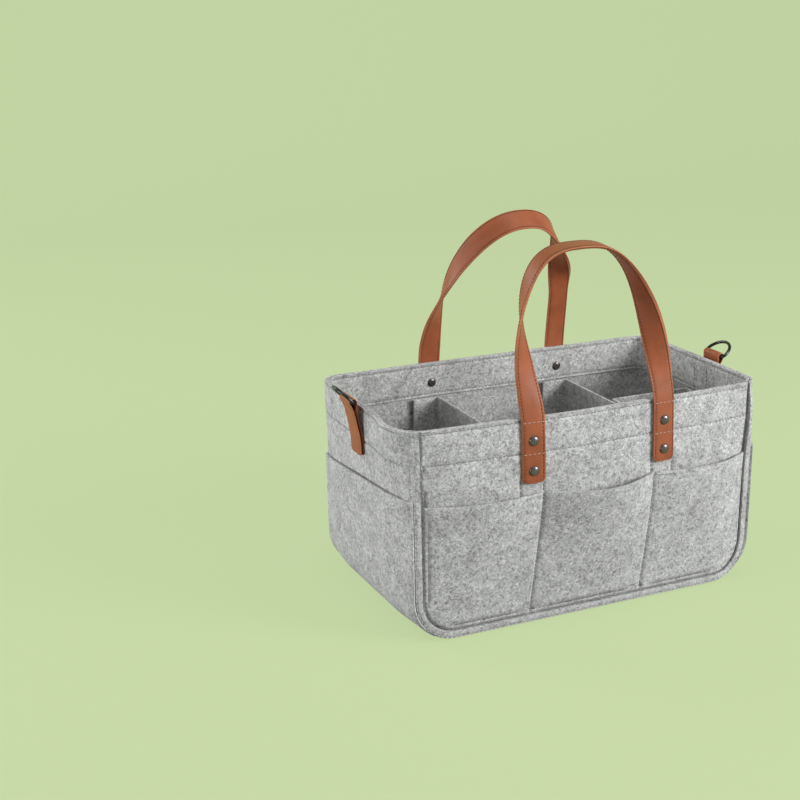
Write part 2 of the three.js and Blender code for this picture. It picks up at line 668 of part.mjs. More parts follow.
// Leather tab: a strip folded over the ring's bar, both layers sewn to the outside of the end.
// Above the flat part the layers run straight to the loop and part round the bar.
function ringTab(side, middleY, loopUp) {
  const radius = RING_WIRE / 2 + LOOP_SLACK + TAB_LEATHER / 2;
  const apart = (TAB_LEATHER + CLEAR) / 2;
  const betweenD = CLEAR + TAB_LEATHER / 2 + apart;
  const lean = new THREE.Vector2(LOOP_OUT - betweenD, HEIGHT + loopUp - TAB_FLAT_Z);
  const spread = Math.asin((radius - apart) / lean.length());
  const enter = lean.angle() + Math.PI / 2 + spread;
  const leave = lean.angle() - Math.PI / 2 - spread;
  const onLoop = (turn) =>
    new THREE.Vector2(LOOP_OUT + radius * Math.cos(turn), HEIGHT + loopUp + radius * Math.sin(turn));
  const layer = (d, turn) => {
    const knee = new THREE.Vector2(d, TAB_FLAT_Z);
    const above = onLoop(turn).sub(knee).setLength(TAB_BEND).add(knee);
    const bend = new THREE.QuadraticBezierCurve(new THREE.Vector2(d, TAB_FLAT_Z - TAB_BEND), knee, above);
    return [new THREE.Vector2(d, TAB_FOOT_Z), ...bend.getPoints(TAB_BEND_STEPS)];
  };
  const line = [
    ...layer(betweenD - apart, enter),
    ...spaced(enter, leave, ROUND_SIDES).map(onLoop),
    ...layer(betweenD + apart, leave).reverse(),
  ];
  const ys = [middleY - TAB_WIDTH / 2, middleY + TAB_WIDTH / 2];
  const face = [];
  const reverse = [];
  line.forEach((point, k) => {
    const before = line[Math.max(k - 1, 0)];
    const after = line[Math.min(k + 1, line.length - 1)];
    const along = after.clone().sub(before).normalize();
    const [offD, offZ] = [-along.y * (TAB_LEATHER / 2), along.x * (TAB_LEATHER / 2)];
    for (const y of ys) {
      face.push(soft(side * (HALF_W + point.x + offD), middleY, point.y + offZ).setY(y));
      reverse.push(soft(side * (HALF_W + point.x - offD), middleY, point.y - offZ).setY(y));
    }
  });
  return sheet(gridQuads(line.length, ys.length), face, reverse);
}

// Wire D-ring: a straight bar through the tab's loop and a bow that points out and up.
function dRing(side, middleY, loopUp, tilt) {
  const centre = soft(side * (HALF_W + LOOP_OUT), middleY, HEIGHT + loopUp);
  const out = new THREE.Vector3(side * Math.cos(radians(tilt)), 0, Math.sin(radians(tilt)));
  const half = RING_WIDTH / 2;
  const line = spaced(RING_CORNER - half, half - RING_CORNER, 3).map((y) => [y, 0]);
  for (const turn of spaced(-Math.PI / 2, 0, 3).slice(1)) {
    line.push([half - RING_CORNER + RING_CORNER * Math.cos(turn), RING_CORNER * (1 + Math.sin(turn))]);
  }
  for (const turn of spaced(0, Math.PI, RING_BOW_STEPS).slice(1)) {
    line.push([half * Math.cos(turn), RING_CORNER + (RING_DEPTH - RING_CORNER) * Math.sin(turn)]);
  }
  for (const turn of spaced(Math.PI, 1.5 * Math.PI, 3).slice(1, -1)) {
    line.push([RING_CORNER - half + RING_CORNER * Math.cos(turn), RING_CORNER * (1 + Math.sin(turn))]);
  }
  const across = new THREE.Vector3(0, 1, 0);
  const flat = new THREE.Vector3().crossVectors(across, out);
  const rings = line.map(([y, d], k) => {
    const before = line[(k + line.length - 1) % line.length];
    const after = line[(k + 1) % line.length];
    const along = new THREE.Vector2(after[0] - before[0], after[1] - before[1]).normalize();
    const normal = across.clone().multiplyScalar(along.y).addScaledVector(out, -along.x);
    return Array.from({ length: WIRE_SIDES }, (_, s) => {
      const turn = (2 * Math.PI * s) / WIRE_SIDES;
      return centre.clone().addScaledVector(across, y).addScaledVector(out, d)
        .addScaledVector(normal, (RING_WIRE / 2) * Math.cos(turn))
        .addScaledVector(flat, (RING_WIRE / 2) * Math.sin(turn));
    });
  });
  return loft(rings, true);
}

add('gusset', gusset(), 'felt');
add('front_panel', panel(FRONT), 'felt');
add('back_panel', panel(BACK), 'felt');
add('rim_facing', rimFacing(), 'felt');
add('front_pocket', slipPocket(FRONT, GAPES), 'felt');
add('back_pocket', slipPocket(BACK, GAPES), 'felt');
add('left_pocket', endPocket(LEFT), 'felt');
add('right_pocket', endPocket(RIGHT), 'felt');

for (const [name, x] of [['left', DIVIDER_LEFT_X], ['right', DIVIDER_RIGHT_X]]) {
  add(`${name}_divider`, longDivider(x), 'felt');
  const tapeX = x - FELT / 2 - (FLANGE - FELT - TAPE_WIDTH) / 2;
  const wallY = HALF_D - FELT - CLEAR;
  for (const [end, side] of [['front', FRONT], ['back', BACK]]) {
    const [from, to] = [[tapeX - TAPE_WIDTH, side * wallY], [tapeX, side * wallY]];
    const tape = hookTape(from, to, 0, -side, TAPE_FOOT);
    add(`${name}_divider_${end}_tape`, tape, 'tape');
  }
}

add('cross_divider', crossDivider(), 'felt');
const crossTapeY = CROSS_Y - FELT / 2 - (FLANGE - FELT - TAPE_WIDTH) / 2;
for (const [end, x, outX] of [
  ['left', DIVIDER_RIGHT_X + FELT / 2 + CLEAR, 1],
  ['right', HALF_W - FELT - CLEAR, -1],
]) {
  const [from, to] = [[x, crossTapeY - TAPE_WIDTH], [x, crossTapeY]];
  const tape = hookTape(from, to, outX, 0, BASE_CORNER + CROSS_TAPE_FOOT);
  add(`cross_divider_${end}_tape`, tape, 'tape');
}

for (const [name, side, handle] of [['front', FRONT, FRONT_HANDLE], ['back', BACK, BACK_HANDLE]]) {
  add(`${name}_handle`, handleLoop(side, handle), 'leather');
  handle.feet.forEach((x, foot) => {
    const hand = foot === 0 ? 'left' : 'right';
    add(`${name}_handle_${hand}_end`, strapEnd(side, x), 'leather');
    Object.entries(RIVET_ZS).forEach(([row, z]) => {
      add(`${name}_${hand}_${row}_rivet`, rivet(side, x, z), 'metal');
    });
  });
}

for (const [name, side] of [['left', LEFT], ['right', RIGHT]]) {
  add(`${name}_tab`, ringTab(side, TAB_YS[name], LOOP_UPS[name]), 'leather');
  add(`${name}_d_ring`, dRing(side, TAB_YS[name], LOOP_UPS[name], RING_TILTS[name]), 'metal');
}

export default caddy;
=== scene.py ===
from math import asin, atan2, cos, pi, radians, sin, sqrt

import bpy
import numpy as np
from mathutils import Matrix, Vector


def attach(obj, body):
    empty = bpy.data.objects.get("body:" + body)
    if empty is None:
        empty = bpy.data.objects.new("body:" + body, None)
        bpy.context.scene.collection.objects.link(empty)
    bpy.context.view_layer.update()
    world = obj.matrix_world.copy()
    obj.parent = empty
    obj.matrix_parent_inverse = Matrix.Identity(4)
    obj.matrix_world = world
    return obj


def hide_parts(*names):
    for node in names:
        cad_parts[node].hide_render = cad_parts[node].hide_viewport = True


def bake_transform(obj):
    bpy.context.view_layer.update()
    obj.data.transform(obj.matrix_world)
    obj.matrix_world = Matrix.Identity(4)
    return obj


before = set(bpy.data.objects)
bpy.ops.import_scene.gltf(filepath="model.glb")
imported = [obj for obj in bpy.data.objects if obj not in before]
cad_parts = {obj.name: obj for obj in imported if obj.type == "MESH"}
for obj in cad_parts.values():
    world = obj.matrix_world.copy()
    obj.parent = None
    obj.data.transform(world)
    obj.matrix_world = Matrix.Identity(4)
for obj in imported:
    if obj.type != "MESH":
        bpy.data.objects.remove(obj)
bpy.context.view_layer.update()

MM = 0.001
FRONT, BACK, LEFT, RIGHT = -1, 1, -1, 1

# As in the CAD source
WIDTH, DEPTH, HEIGHT = 350.0, 195.0, 190.0
FELT, CLEAR = 2.5, 0.3
BASE_CORNER, EDGE_ROUND = 40.0, 5.0
SEAM_IN, FIN_FADE, FIN_AT_RIM = 8.0, 22.0, 1.0
TAPER_X, TAPER_Y = 2.0, 1.0
FRONT_BOW, BACK_BOW, END_BOW, BELLY = 6.0, 0.0, 4.0, 5.0
CORNER_SLACK, CORNER_REACH = 3.0, 45.0
FACING_DROP, FACING_CORNER = 33.0, 8.0
END_MOUTH, END_SLANT = HEIGHT - 60.0, 14.0
STITCH_LEFT, STITCH_RIGHT = (-53.0, -63.0), (59.0, 51.0)  # at the mouth and the foot
GAPES = (9.0, 19.0, 10.0)
END_POCKET_TURN = pi / 3
DIVIDER_LEFT_X, DIVIDER_RIGHT_X, CROSS_Y, DIVIDER_DROP = -58.5, 82.0, 12.0, 1.0
FLANGE, TAPE, TAPE_WIDTH = 27.0, 2.6, 18.0
TAPE_FOOT, CROSS_TAPE_FOOT, TAPE_HEAD = 22.0, 4.0, 100.0
STRAP, LEATHER = 22.0, 3.0
STRAP_FOOT_Z, STRAP_FOOT_ROUND = HEIGHT - 56.5, 5.0
RISE, FOLD_GAP, FOLD_BEVEL = 138.5, 0.4, radians(18)
HANDLES = {
    "front": dict(side=FRONT, feet=(-63.0, 68.0), lean=22.0, power=1.0, sway=-14.0, arch=2.9,
                  bulge=2.5, turn=94.0, left=(0.0, 1.0), right=(0.0, 1.0)),
    "back": dict(side=BACK, feet=(-64.5, 71.5), lean=53.0, power=1.75, sway=4.5, arch=2.3,
                 bulge=0.0, turn=136.0, left=(0.0, 1.0), right=(0.38, 1.0)),
}
RIVET_ZS = {"lower": HEIGHT - 45.3, "upper": HEIGHT - 19.0}
RIVET_DOME, RIVET_SHANK, RIVET_BACK, RIVET_BACK_DOME = 2.3, 1.8, 4.4, 1.6
TABS = {
    "left": dict(side=LEFT, y=-2.0, up=6.0),
    "right": dict(side=RIGHT, y=-8.0, up=3.0),
}
RING_TILTS = {"left": radians(46), "right": radians(35)}
TAB_WIDTH, TAB_FOOT_Z, TAB_FLAT_Z, TAB_BEND = 24.6, HEIGHT - 43.0, HEIGHT - 28.0, 8.0
LOOP_OUT, LOOP_SLACK = 9.0, 0.8
RING_WIRE, RING_WIDTH, RING_DEPTH, RING_CORNER = 3.0, 29.0, 17.0, 3.0

HALF_W, HALF_D = WIDTH / 2, DEPTH / 2
CORNER_X = HALF_W - BASE_CORNER  # middle of each base corner
FACING_Z = HEIGHT - FACING_DROP
DIVIDER_TOP = FACING_Z - DIVIDER_DROP
TAPED = TAPE + 2 * CLEAR

# Coarser in the CAD source
SEAM_FIN, MOUTH, END_GAPE, RIVET_CAP, TAB_LEATHER = 3.5, HEIGHT - 66.0, 2.5, 4.4, 1.5

# Sewing
TOP_ROW, FACING_ROW = HEIGHT - 3.0, FACING_Z + 2.5
DENT, ROW_DENT, DENT_REACH = 1.5, 0.9, 1.4  # how far stitches pull the felt in, and how wide
SEAM_GROOVE, POCKET_GROOVE = 1.6, 2.2  # how far the felt is drawn in beside a seam
GROOVE_FLOOR, GROOVE_REACH = 0.4, 2.4  # from the seam to the end of the groove's floor and brim
LAP_SHADE = 1.7  # what the lap hides of it
GROOVE_STEPS = np.array([4.6, 4.0, 3.3, 2.6, 1.9, 1.2, 0.6, 0.0])  # grid lines across it
LAP_ROW = radians(35)  # where round the corner the lap's stitches run
RIM_STITCH, SEAM_STITCH, POCKET_STITCH = (3.6, 2.7), (4.2, 3.2), (3.4, 2.5)  # pitch, length
FLANGE_STITCH, LEATHER_STITCH = (3.8, 2.8), (3.1, 3.1 * 0.74)
FLANGE_ROW, WEB_ROW, ROW_FOOT = 3.5, 5.5, 4.0  # in from a flange's edge, its web and its foot
LEATHER_ROW = 2.3  # in from the edge of leather
TACK_START, TACK_END = (MOUTH - 12, MOUTH - 6), (STRAP_FOOT_Z + 2, STRAP_FOOT_Z + 8)  # by a strap
PROUD = 0.05  # of thread and caps over the face that they lie on
TAPE_IN = FELT / 2 + (FLANGE - FELT - TAPE_WIDTH) / 2  # from the middle of the web to the tape
FOLD_ROUND = 3.2  # of a divider, at its flanges

# Ease and unevenness
POCKET_GAP = 0.9  # between the lap and the pocket
TAPE_ROOM = 0.4  # left behind a tape, which slides along uneven felt
TAB_FOOT_ROUND = 4.0
TAB_WAIST, TAB_PART = 9.0, 2.0  # how far under the ring the tab's layers part, and how gently
RIPPLE = 0.7  # unevenness of the felt
RIPPLE_FROM, RIPPLE_FULL = 25.0, 60.0  # on the ends, beside the tab
RIM_CORNER, RIM_CORNER_FROM = 17.0, 105.0  # radius of the rim's corners, and where it starts
SHOULDER, SHOULDER_Y, SHOULDER_Z = 5.0, 30.0, 120.0  # swell beside the left front rim corner
STEP = 5.0  # felt grid
ARC = 6  # grid steps in an eighth of a turn


def smooth(value, start, end):
    t = np.clip((np.asarray(value, float) - start) / (end - start), 0.0, 1.0)
    return t * t * (3.0 - 2.0 * t)


def unit(v):
    return v / np.maximum(np.linalg.norm(v, axis=-1, keepdims=True), 1e-12)


def run_of(path):
    """Length along a path at each of its points."""
    return np.concatenate([[0.0], np.cumsum(np.linalg.norm(np.diff(path, axis=0), axis=1))])


def at_run(where, run, values):
    """What a path's points carry, at given lengths along it."""
    return np.stack([np.interp(where, run, values[:, k]) for k in range(3)], -1)


def full_turn(count):
    return 2 * pi * np.arange(count) / count


def rounded(x, y, z):
    """Plan with its corners rounded towards the rim; what lies inside a wall keeps its distance."""
    radius = RIM_CORNER * smooth(z, RIM_CORNER_FROM, HEIGHT)
    p, q = np.abs(x) - (HALF_W - radius), np.abs(y) - (HALF_D - radius)
    inside = (p > 0.0) & (q > 0.0) & (radius > 0.0)
    most = np.where(inside, np.maximum(p, q), 1.0)
    turn = np.where(p >= q, pi / 4 * q / most, pi / 2 - pi / 4 * p / most)
    p_round, q_round = most * np.cos(turn), most * np.sin(turn)
    return (np.where(inside, np.sign(x) * (HALF_W - radius + p_round), x),
            np.where(inside, np.sign(y) * (HALF_D - radius + q_round), y))


def soft(x, y, z):
    """From the crisp box to the soft one: taper, bowed walls, slack corners and slight ripples."""
    x, y, z = np.broadcast_arrays(*(np.asarray(v, float) for v in (x, y, z)))
    x, y = rounded(x, y, z)
    up = np.clip(z / HEIGHT, 0.0, 1.0)
    side_x, side_y = np.sign(x), np.sign(y)
    far_x, far_y = np.abs(x), np.abs(y)
    filled = smooth(z / HEIGHT, 0.0, 0.9)
    across = 1.0 - np.minimum(far_x / (HALF_W - SEAM_IN), 1.0) ** 2
    on_wall = smooth(far_y, 0.2 * HALF_D, 0.7 * HALF_D)
    on_end = smooth(far_x, 0.6 * HALF_W, 0.9 * HALF_W)
    rim_bow = np.where(side_y == FRONT, FRONT_BOW, BACK_BOW)
    ripple = RIPPLE * (
        np.sin(x / 21.0 + z / 47.0 + 1.3 * side_y) + np.sin(x / 34.0 - z / 31.0 + 2.0))
    wall = (rim_bow * filled + BELLY * np.sin(pi * up) + ripple * filled) * across * on_wall
    end_ripple = RIPPLE * np.sin(y / 17.0 + z / 39.0 + side_x) * \
        smooth(far_y, RIPPLE_FROM, RIPPLE_FULL)
    end = (END_BOW + end_ripple) * filled * (1.0 - np.minimum(far_y / HALF_D, 1.0) ** 4) * on_end
    swell = np.sin(pi * np.clip((far_y - SHOULDER_Y) / (HALF_D - SHOULDER_Y), 0.0, 1.0)) ** 2
    end = end + SHOULDER * swell * smooth(z, SHOULDER_Z, HEIGHT) * on_end * ((x < 0) & (y < 0))
    slack = CORNER_SLACK * smooth(far_x, HALF_W - CORNER_REACH, HALF_W) * \
        smooth(far_y, HALF_D - CORNER_REACH, HALF_D) * (1.0 - smooth(z, RIM_CORNER_FROM, HEIGHT))
    return np.stack([
        x * (1.0 - TAPER_X / HALF_W * (1.0 - up)) + side_x * (end - slack),
        y * (1.0 - TAPER_Y / HALF_D * (1.0 - up)) + side_y * (wall - slack),
        z,
    ], -1)


def dent(distance, depth=DENT):
    return depth * np.exp(-(np.asarray(distance, float) / DENT_REACH) ** 2)


def rows_dent(z):
    return dent(z - TOP_ROW, ROW_DENT) + dent(z - FACING_ROW, ROW_DENT)


def groove(to_seam, depth):
    return depth * (1.0 - smooth(to_seam, GROOVE_FLOOR, GROOVE_REACH))


def lines(start, end, creases=()):
    """Grid lines from start up to end, closer together beside each crease."""
    values = np.linspace(start, end, max(2, round((end - start) / STEP)) + 1)
    near = [-2.6, -1.6, -0.8, 0.0, 0.8, 1.6, 2.6]
    kept = [v for v in values
            if all(abs(v - c) > 3.4 for c in creases) or v in (values[0], values[-1])]
    extra = [c + d for c in creases for d in near if start + 0.6 < c + d < end - 0.6]
    return np.array(sorted(kept + extra))


SIDE_ZS = lines(BASE_CORNER, HEIGHT, (TOP_ROW, FACING_ROW))
END_YS = lines(EDGE_ROUND - HALF_D, HALF_D - EDGE_ROUND)[1:-1]
DIVIDER_ZS = lines(FELT + 2 * CLEAR, DIVIDER_TOP)


# Meshes
BEVEL_OVER, SHARP_OVER = radians(40), radians(50)


def mesh_object(name, points, faces, look, body="box", bevel=0.0):
    """Object from points in millimetres. `look` is a material or a list of them."""
    data = bpy.data.meshes.new(name)
    data.from_pydata((np.asarray(points) * MM).tolist(), [], [list(map(int, f)) for f in faces])
    data.validate()
    data.update()
    obj = bpy.data.objects.new(name, data)
    bpy.context.scene.collection.objects.link(obj)
    for item in look if isinstance(look, list) else [look]:
        data.materials.append(item)
    data.polygons.foreach_set("use_smooth", [True] * len(data.polygons))
    if bevel:
        edge = obj.modifiers.new("edge", "BEVEL")
        edge.width = bevel * MM
        edge.segments = 2
        edge.limit_method = "ANGLE"
        edge.angle_limit = BEVEL_OVER
    else:
        data.set_sharp_from_angle(angle=SHARP_OVER)
    if body:
        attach(obj, body)
    return obj


def grid_quads(columns, rows, ring=False):
    i = np.arange(columns if ring else columns - 1)
    j = np.arange(rows - 1)
    a, b = np.meshgrid(i * rows, j, indexing="ij")
    c = np.meshgrid((i + 1) % columns * rows, j, indexing="ij")[0]
    return np.stack([a + b, c + b, c + b + 1, a + b + 1], -1).reshape(-1, 4)


def closed_faces(quads, count):
    """Both faces of a sheet and the strips along its free edges."""
    faces, edges = [], {}
    for quad in quads.tolist():
        faces.append(quad)
        faces.append([n + count for n in reversed(quad)])
        for m, n in zip(quad, quad[1:] + quad[:1]):
            if edges.pop((n, m), None) is None:
                edges[(m, n)] = True
    faces += [[n, m, m + count, n + count] for m, n in edges]
    return faces


def outward(points, faces):
    """Faces turned so that the closed body has its outside out."""
    volume = 0.0
    for face in faces:
        a = points[face[0]]
        for m, n in zip(face[1:-1], face[2:]):
            volume += float(np.dot(np.cross(a, points[m]), points[n]))
    return faces if volume > 0 else [list(reversed(face)) for face in faces]


def sheet(kind, node, face, back, look=None, body="box", slot="felt", bevel=0.4, ring=False):
    """Closed sheet between two grids of points, which replaces a CAD node."""
    quads = grid_quads(*face.shape[:2], ring)
    face, back = face.reshape(-1, 3), back.reshape(-1, 3)
    points = np.concatenate([face, back])
    faces = outward(points, closed_faces(quads, len(face)))
    obj = mesh_object(f"{kind}_{node}", points, faces, look or FELT_LOOK, body, bevel)
    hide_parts(node)


def ring_faces(count, sides, closed=False):
    """Quads between rings of points that follow each other."""
    faces = []
    for i in range(count if closed else count - 1):
        k = (i + 1) % count
        for s in range(sides):
            t = (s + 1) % sides
            faces.append([i * sides + s, i * sides + t, k * sides + t, k * sides + s])
    return faces


def tube(name, rings, look, body, closed=False):
    count, sides = rings.shape[:2]
    faces = ring_faces(count, sides, closed)
    if not closed:
        faces.append(list(range(sides)))
        faces.append([(count - 1) * sides + s for s in reversed(range(sides))])
    points = rings.reshape(-1, 3)
    return mesh_object(name, points, outward(points, faces), look, body)


# Thread: every row of stitches is collected here and made into one mesh per place.
thread = {}


def sew(place, points, normals, stitch=RIM_STITCH, closed=False):
    """Row of stitches along points. `normals` is one direction for all of them, or one for each."""
    points = np.asarray(points, float)
    normals = np.broadcast_to(np.asarray(normals, float), points.shape)
    if closed:
        points, normals = (np.vstack([v, v[:1]]) for v in (points, normals))
    run = run_of(points)
    pitch, length = stitch
    count = max(1, int(run[-1] / pitch))
    starts = (np.arange(count) + 0.5) * run[-1] / count - length / 2
    thread.setdefault(place, []).append((
        at_run(starts, run, points), at_run(starts + length, run, points),
        unit(at_run(starts + length / 2, run, normals))))


def stitches(place, look, body, radius=0.36, lift=0.3):
    """Thread that comes up, lies over and goes down again, for each stitch of a place."""
    sides, shares = 6, np.array([0.0, 0.16, 0.5, 0.84, 1.0])
    heights = np.array([-0.35, 0.45, 1.0, 0.45, -0.35]) * lift
    sizes = np.array([0.55, 1.0, 1.05, 1.0, 0.55]) * radius
    start, end, normal = (np.concatenate(part) for part in zip(*thread[place]))
    along = unit(end - start)
    across = unit(np.cross(normal, along))
    normal = np.cross(along, across)
    turns = full_turn(sides)[None, :, None]
    middle = start[:, None] + (end - start)[:, None] * shares[None, :, None] + \
        normal[:, None] * heights[None, :, None]
    ring = across[:, None] * np.cos(turns) + normal[:, None] * np.sin(turns)
    points = middle[:, :, None] + ring[:, None] * sizes[None, :, None, None]
    per = len(shares) * sides
    one = ring_faces(len(shares), sides)
    caps = [list(reversed(range(sides))), list(range(per - sides, per))]
    faces = [[n + k * per for n in face] for k in range(len(start)) for face in one + caps]
    return mesh_object("thread_" + place, points.reshape(-1, 3), faces, look, body)


# Materials

def put(node, **values):
    """Sets a node's inputs. An underscore stands for a space in an input's name."""
    for key, value in values.items():
        node.inputs[key.replace("_", " ")].default_value = value


def node_material(name):
    look = bpy.data.materials.new(name)
    look.use_nodes = True
    tree = look.node_tree

    def node(kind, **values):
        made = tree.nodes.new(kind)
        put(made, **values)
        return made

    return look, tree, tree.nodes["Principled BSDF"], node


def toned(tone, share):
    return tuple(min(1.0, share * t) for t in tone)


def ramp(tree, fac, stops):
    """Colour of a ramp. A stop is a position with a colour, or with one number for a grey."""
    made = tree.nodes.new("ShaderNodeValToRGB")
    while len(made.color_ramp.elements) < len(stops):
        made.color_ramp.elements.new(0.5)
    for element, (position, colour) in zip(made.color_ramp.elements, stops):
        element.position = position
        element.color = (*(colour if isinstance(colour, tuple) else 3 * (colour,)), 1.0)
    tree.links.new(fac, made.inputs["Fac"])
    return made.outputs["Color"]


def feed(tree, value, socket):
    """Sets a socket to a value, or links it to another socket."""
    if isinstance(value, bpy.types.NodeSocket):
        tree.links.new(value, socket)
    else:
        socket.default_value = value


def maths(tree, operation, *values):
    made = tree.nodes.new("ShaderNodeMath")
    made.operation = operation
    for value, socket in zip(values, made.inputs):
        feed(tree, value, socket)
    return made.outputs[0]


def mix(tree, share, a, b, blend_type="MIX", data_type="RGBA"):
    made = tree.nodes.new("ShaderNodeMix")
    made.data_type, made.blend_type = data_type, blend_type
    first, result = (6, 2) if data_type == "RGBA" else (2, 0)  # the sockets of that type
    for value, number in ((share, 0), (a, first), (b, first + 1)):
        feed(tree, value, made.inputs[number])
    return made.outputs[result]


def bump(tree, shader, height, strength, distance):
    made = tree.nodes.new("ShaderNodeBump")
    put(made, Strength=strength, Distance=distance * MM)
    tree.links.new(height, made.inputs["Height"])
    tree.links.new(made.outputs["Normal"], shader.inputs["Normal"])


def felt_look(name, tone):
    """Mottled wool: clumps of light and dark fibre, broken strands over them, uneven patches."""
    look, tree, shader, node = node_material(name)
    coord = node("ShaderNodeTexCoord").outputs["Object"]
    link = tree.links.new

    def noise(scale, detail, roughness, distortion, shift=0.0):
        moved = node("ShaderNodeMapping", Location=(shift, 0.7 * shift, -shift))
        link(coord, moved.inputs["Vector"])
        made = node("ShaderNodeTexNoise", Scale=scale, Detail=detail, Roughness=roughness,
                    Distortion=distortion)
        link(moved.outputs["Vector"], made.inputs["Vector"])
        return made.outputs["Fac"]

    def strands(scale, shift, thin):
        """Thin curling lines, broken into short lengths."""
        size = maths(tree, "ABSOLUTE", maths(
            tree, "SUBTRACT", noise(scale, 1.5, 0.5, 1.8, shift), 0.5))
        line = ramp(tree, size, [(0.0, 1.0), (thin, 0.0)])
        gaps = noise(scale * 0.6, 1.0, 0.5, 0.0, shift + 0.31)
        return mix(tree, 1.0, line, ramp(tree, gaps, [(0.44, 0.0), (0.56, 1.0)]), "MULTIPLY")

    clump = noise(390.0, 4.0, 0.66, 0.9)
    dark = strands(150.0, 0.11, 0.05)
    light = strands(190.0, 0.23, 0.04)
    wool = ramp(tree, clump, [(0.34, toned(tone, 0.43)), (0.46, toned(tone, 0.87)),
                              (0.55, toned(tone, 1.1)), (0.68, toned(tone, 1.48))])
    patches = ramp(tree, noise(48.0, 3.0, 0.6, 0.6, 0.47), [(0.32, 0.86), (0.66, 1.1)])
    felted = mix(tree, 1.0, wool, patches, "MULTIPLY")
    for strand, share, most in ((dark, 0.38, 0.65), (light, 1.68, 0.62)):
        laid = maths(tree, "MULTIPLY", strand, most)
        felted = mix(tree, laid, felted, (*toned(tone, share), 1.0))
    link(felted, shader.inputs["Base Color"])
    put(shader, Roughness=0.95, Specular_IOR_Level=0.15, Sheen_Weight=0.12, Sheen_Roughness=0.6)
    bump(tree, shader, mix(tree, 0.25, clump, light, data_type="FLOAT"), 0.6, 0.6)
    return look


def leather_look(name, tone, rough, grain, depth):
    look, tree, shader, node = node_material(name)
    coord = node("ShaderNodeTexCoord").outputs["Object"]
    link = tree.links.new
    cells = node("ShaderNodeTexVoronoi", Scale=grain, Randomness=1.0)
    cells.feature = "SMOOTH_F1"
    fine = node("ShaderNodeTexNoise", Scale=grain * 2.2, Detail=4.0, Roughness=0.6)
    cloud = node("ShaderNodeTexNoise", Scale=38.0, Detail=4.0, Roughness=0.6, Distortion=0.8)
    for made in (cells, fine, cloud):
        link(coord, made.inputs["Vector"])
    pores = mix(tree, 0.45, cells.outputs["Distance"], fine.outputs["Fac"], data_type="FLOAT")
    uneven = cloud.outputs["Fac"]
    base = ramp(tree, uneven, [(0.28, toned(tone, 0.8)), (0.5, tone), (0.74, toned(tone, 1.16))])
    worn = ramp(tree, pores, [(0.15, 1.06), (0.75, 0.84)])
    link(mix(tree, 1.0, base, worn, "MULTIPLY"), shader.inputs["Base Color"])
    gloss = ramp(tree, uneven, [(0.3, rough - 0.06), (0.7, rough + 0.08)])
    link(gloss, shader.inputs["Roughness"])
    put(shader, Specular_IOR_Level=0.32)
    bump(tree, shader, pores, depth, 0.25)
    return look


def plain_look(name, tone, rough, scale, metallic, spread, depth):
    look, tree, shader, node = node_material(name)
    coord = node("ShaderNodeTexCoord").outputs["Object"]
    made = node("ShaderNodeTexNoise", Scale=scale, Detail=4.0, Roughness=0.6)
    tree.links.new(coord, made.inputs["Vector"])
    grain = made.outputs["Fac"]
    base = ramp(tree, grain, [(0.3, toned(tone, 1 - spread)), (0.7, toned(tone, 1 + spread))])
    tree.links.new(base, shader.inputs["Base Color"])
    gloss = ramp(tree, grain, [(0.3, rough * 0.85), (0.7, min(1.0, rough * 1.2))])
    tree.links.new(gloss, shader.inputs["Roughness"])
    put(shader, Metallic=metallic)
    bump(tree, shader, grain, depth, 0.1)
    return look


FELT_LOOK = felt_look("grey_felt", (0.455, 0.46, 0.445))
LEATHER_LOOK = leather_look("brown_leather", (0.325, 0.09, 0.034), 0.44, 1100.0, 0.3)
# rougher cut edge of the same leather; its lighter tone is a painted highlight along the edges
EDGE_LOOK_WITH_PAINTED_HIGHLIGHT = leather_look("cut_leather_edge_with_painted_highlight", (0.4, 0.14, 0.06), 0.7, 1700.0, 0.5)
METAL_LOOK = plain_look("gunmetal", (0.055, 0.053, 0.056), 0.26, 600.0, 1.0, 0.15, 0.03)
RIVET_LOOK = plain_look("polished_gunmetal", (0.135, 0.12, 0.115), 0.25, 500.0, 0.75, 0.12, 0.03)
TAPE_LOOK = plain_look("hook_tape", (0.3, 0.305, 0.3), 0.8, 900.0, 0.0, 0.35, 0.9)
GREY_THREAD = plain_look("grey_thread", (0.58, 0.585, 0.57), 0.8, 3000.0, 0.0, 0.2, 0.6)
# real grey thread, toned darker as painted shade of the dents and grooves that the rim and pocket
# rows sit in
THREAD_WITH_PAINTED_SHADE = plain_look("grey_thread_with_painted_groove_shade", (0.2, 0.203, 0.2), 0.8, 3000.0, 0.0, 0.2, 0.6)
STRAP_THREAD = plain_look("strap_thread", (0.42, 0.33, 0.28), 0.8, 3000.0, 0.0, 0.2, 0.6)
BROWN_THREAD = plain_look("brown_thread", (0.085, 0.03, 0.016), 0.7, 3000.0, 0.0, 0.25, 0.6)


# Felt shell

def stations():
    """Places down the left end, along the base and up the right end, with inward normals."""
    left = [(-HALF_W, z, 1.0, 0.0) for z in SIDE_ZS[:0:-1]]
    for turn in np.linspace(0.0, pi / 2, 2 * ARC + 1):
        nx, nz = cos(turn), sin(turn)
        left.append((BASE_CORNER * (1 - nx) - HALF_W, BASE_CORNER * (1 - nz), nx, nz))
    base_xs = lines(-CORNER_X, CORNER_X)
    base = [(x, 0.0, 0.0, 1.0) for x in base_xs[1:-1]]
    right = [(-x, z, -nx, nz) for x, z, nx, nz in reversed(left)]
    return np.array(left + base + right)


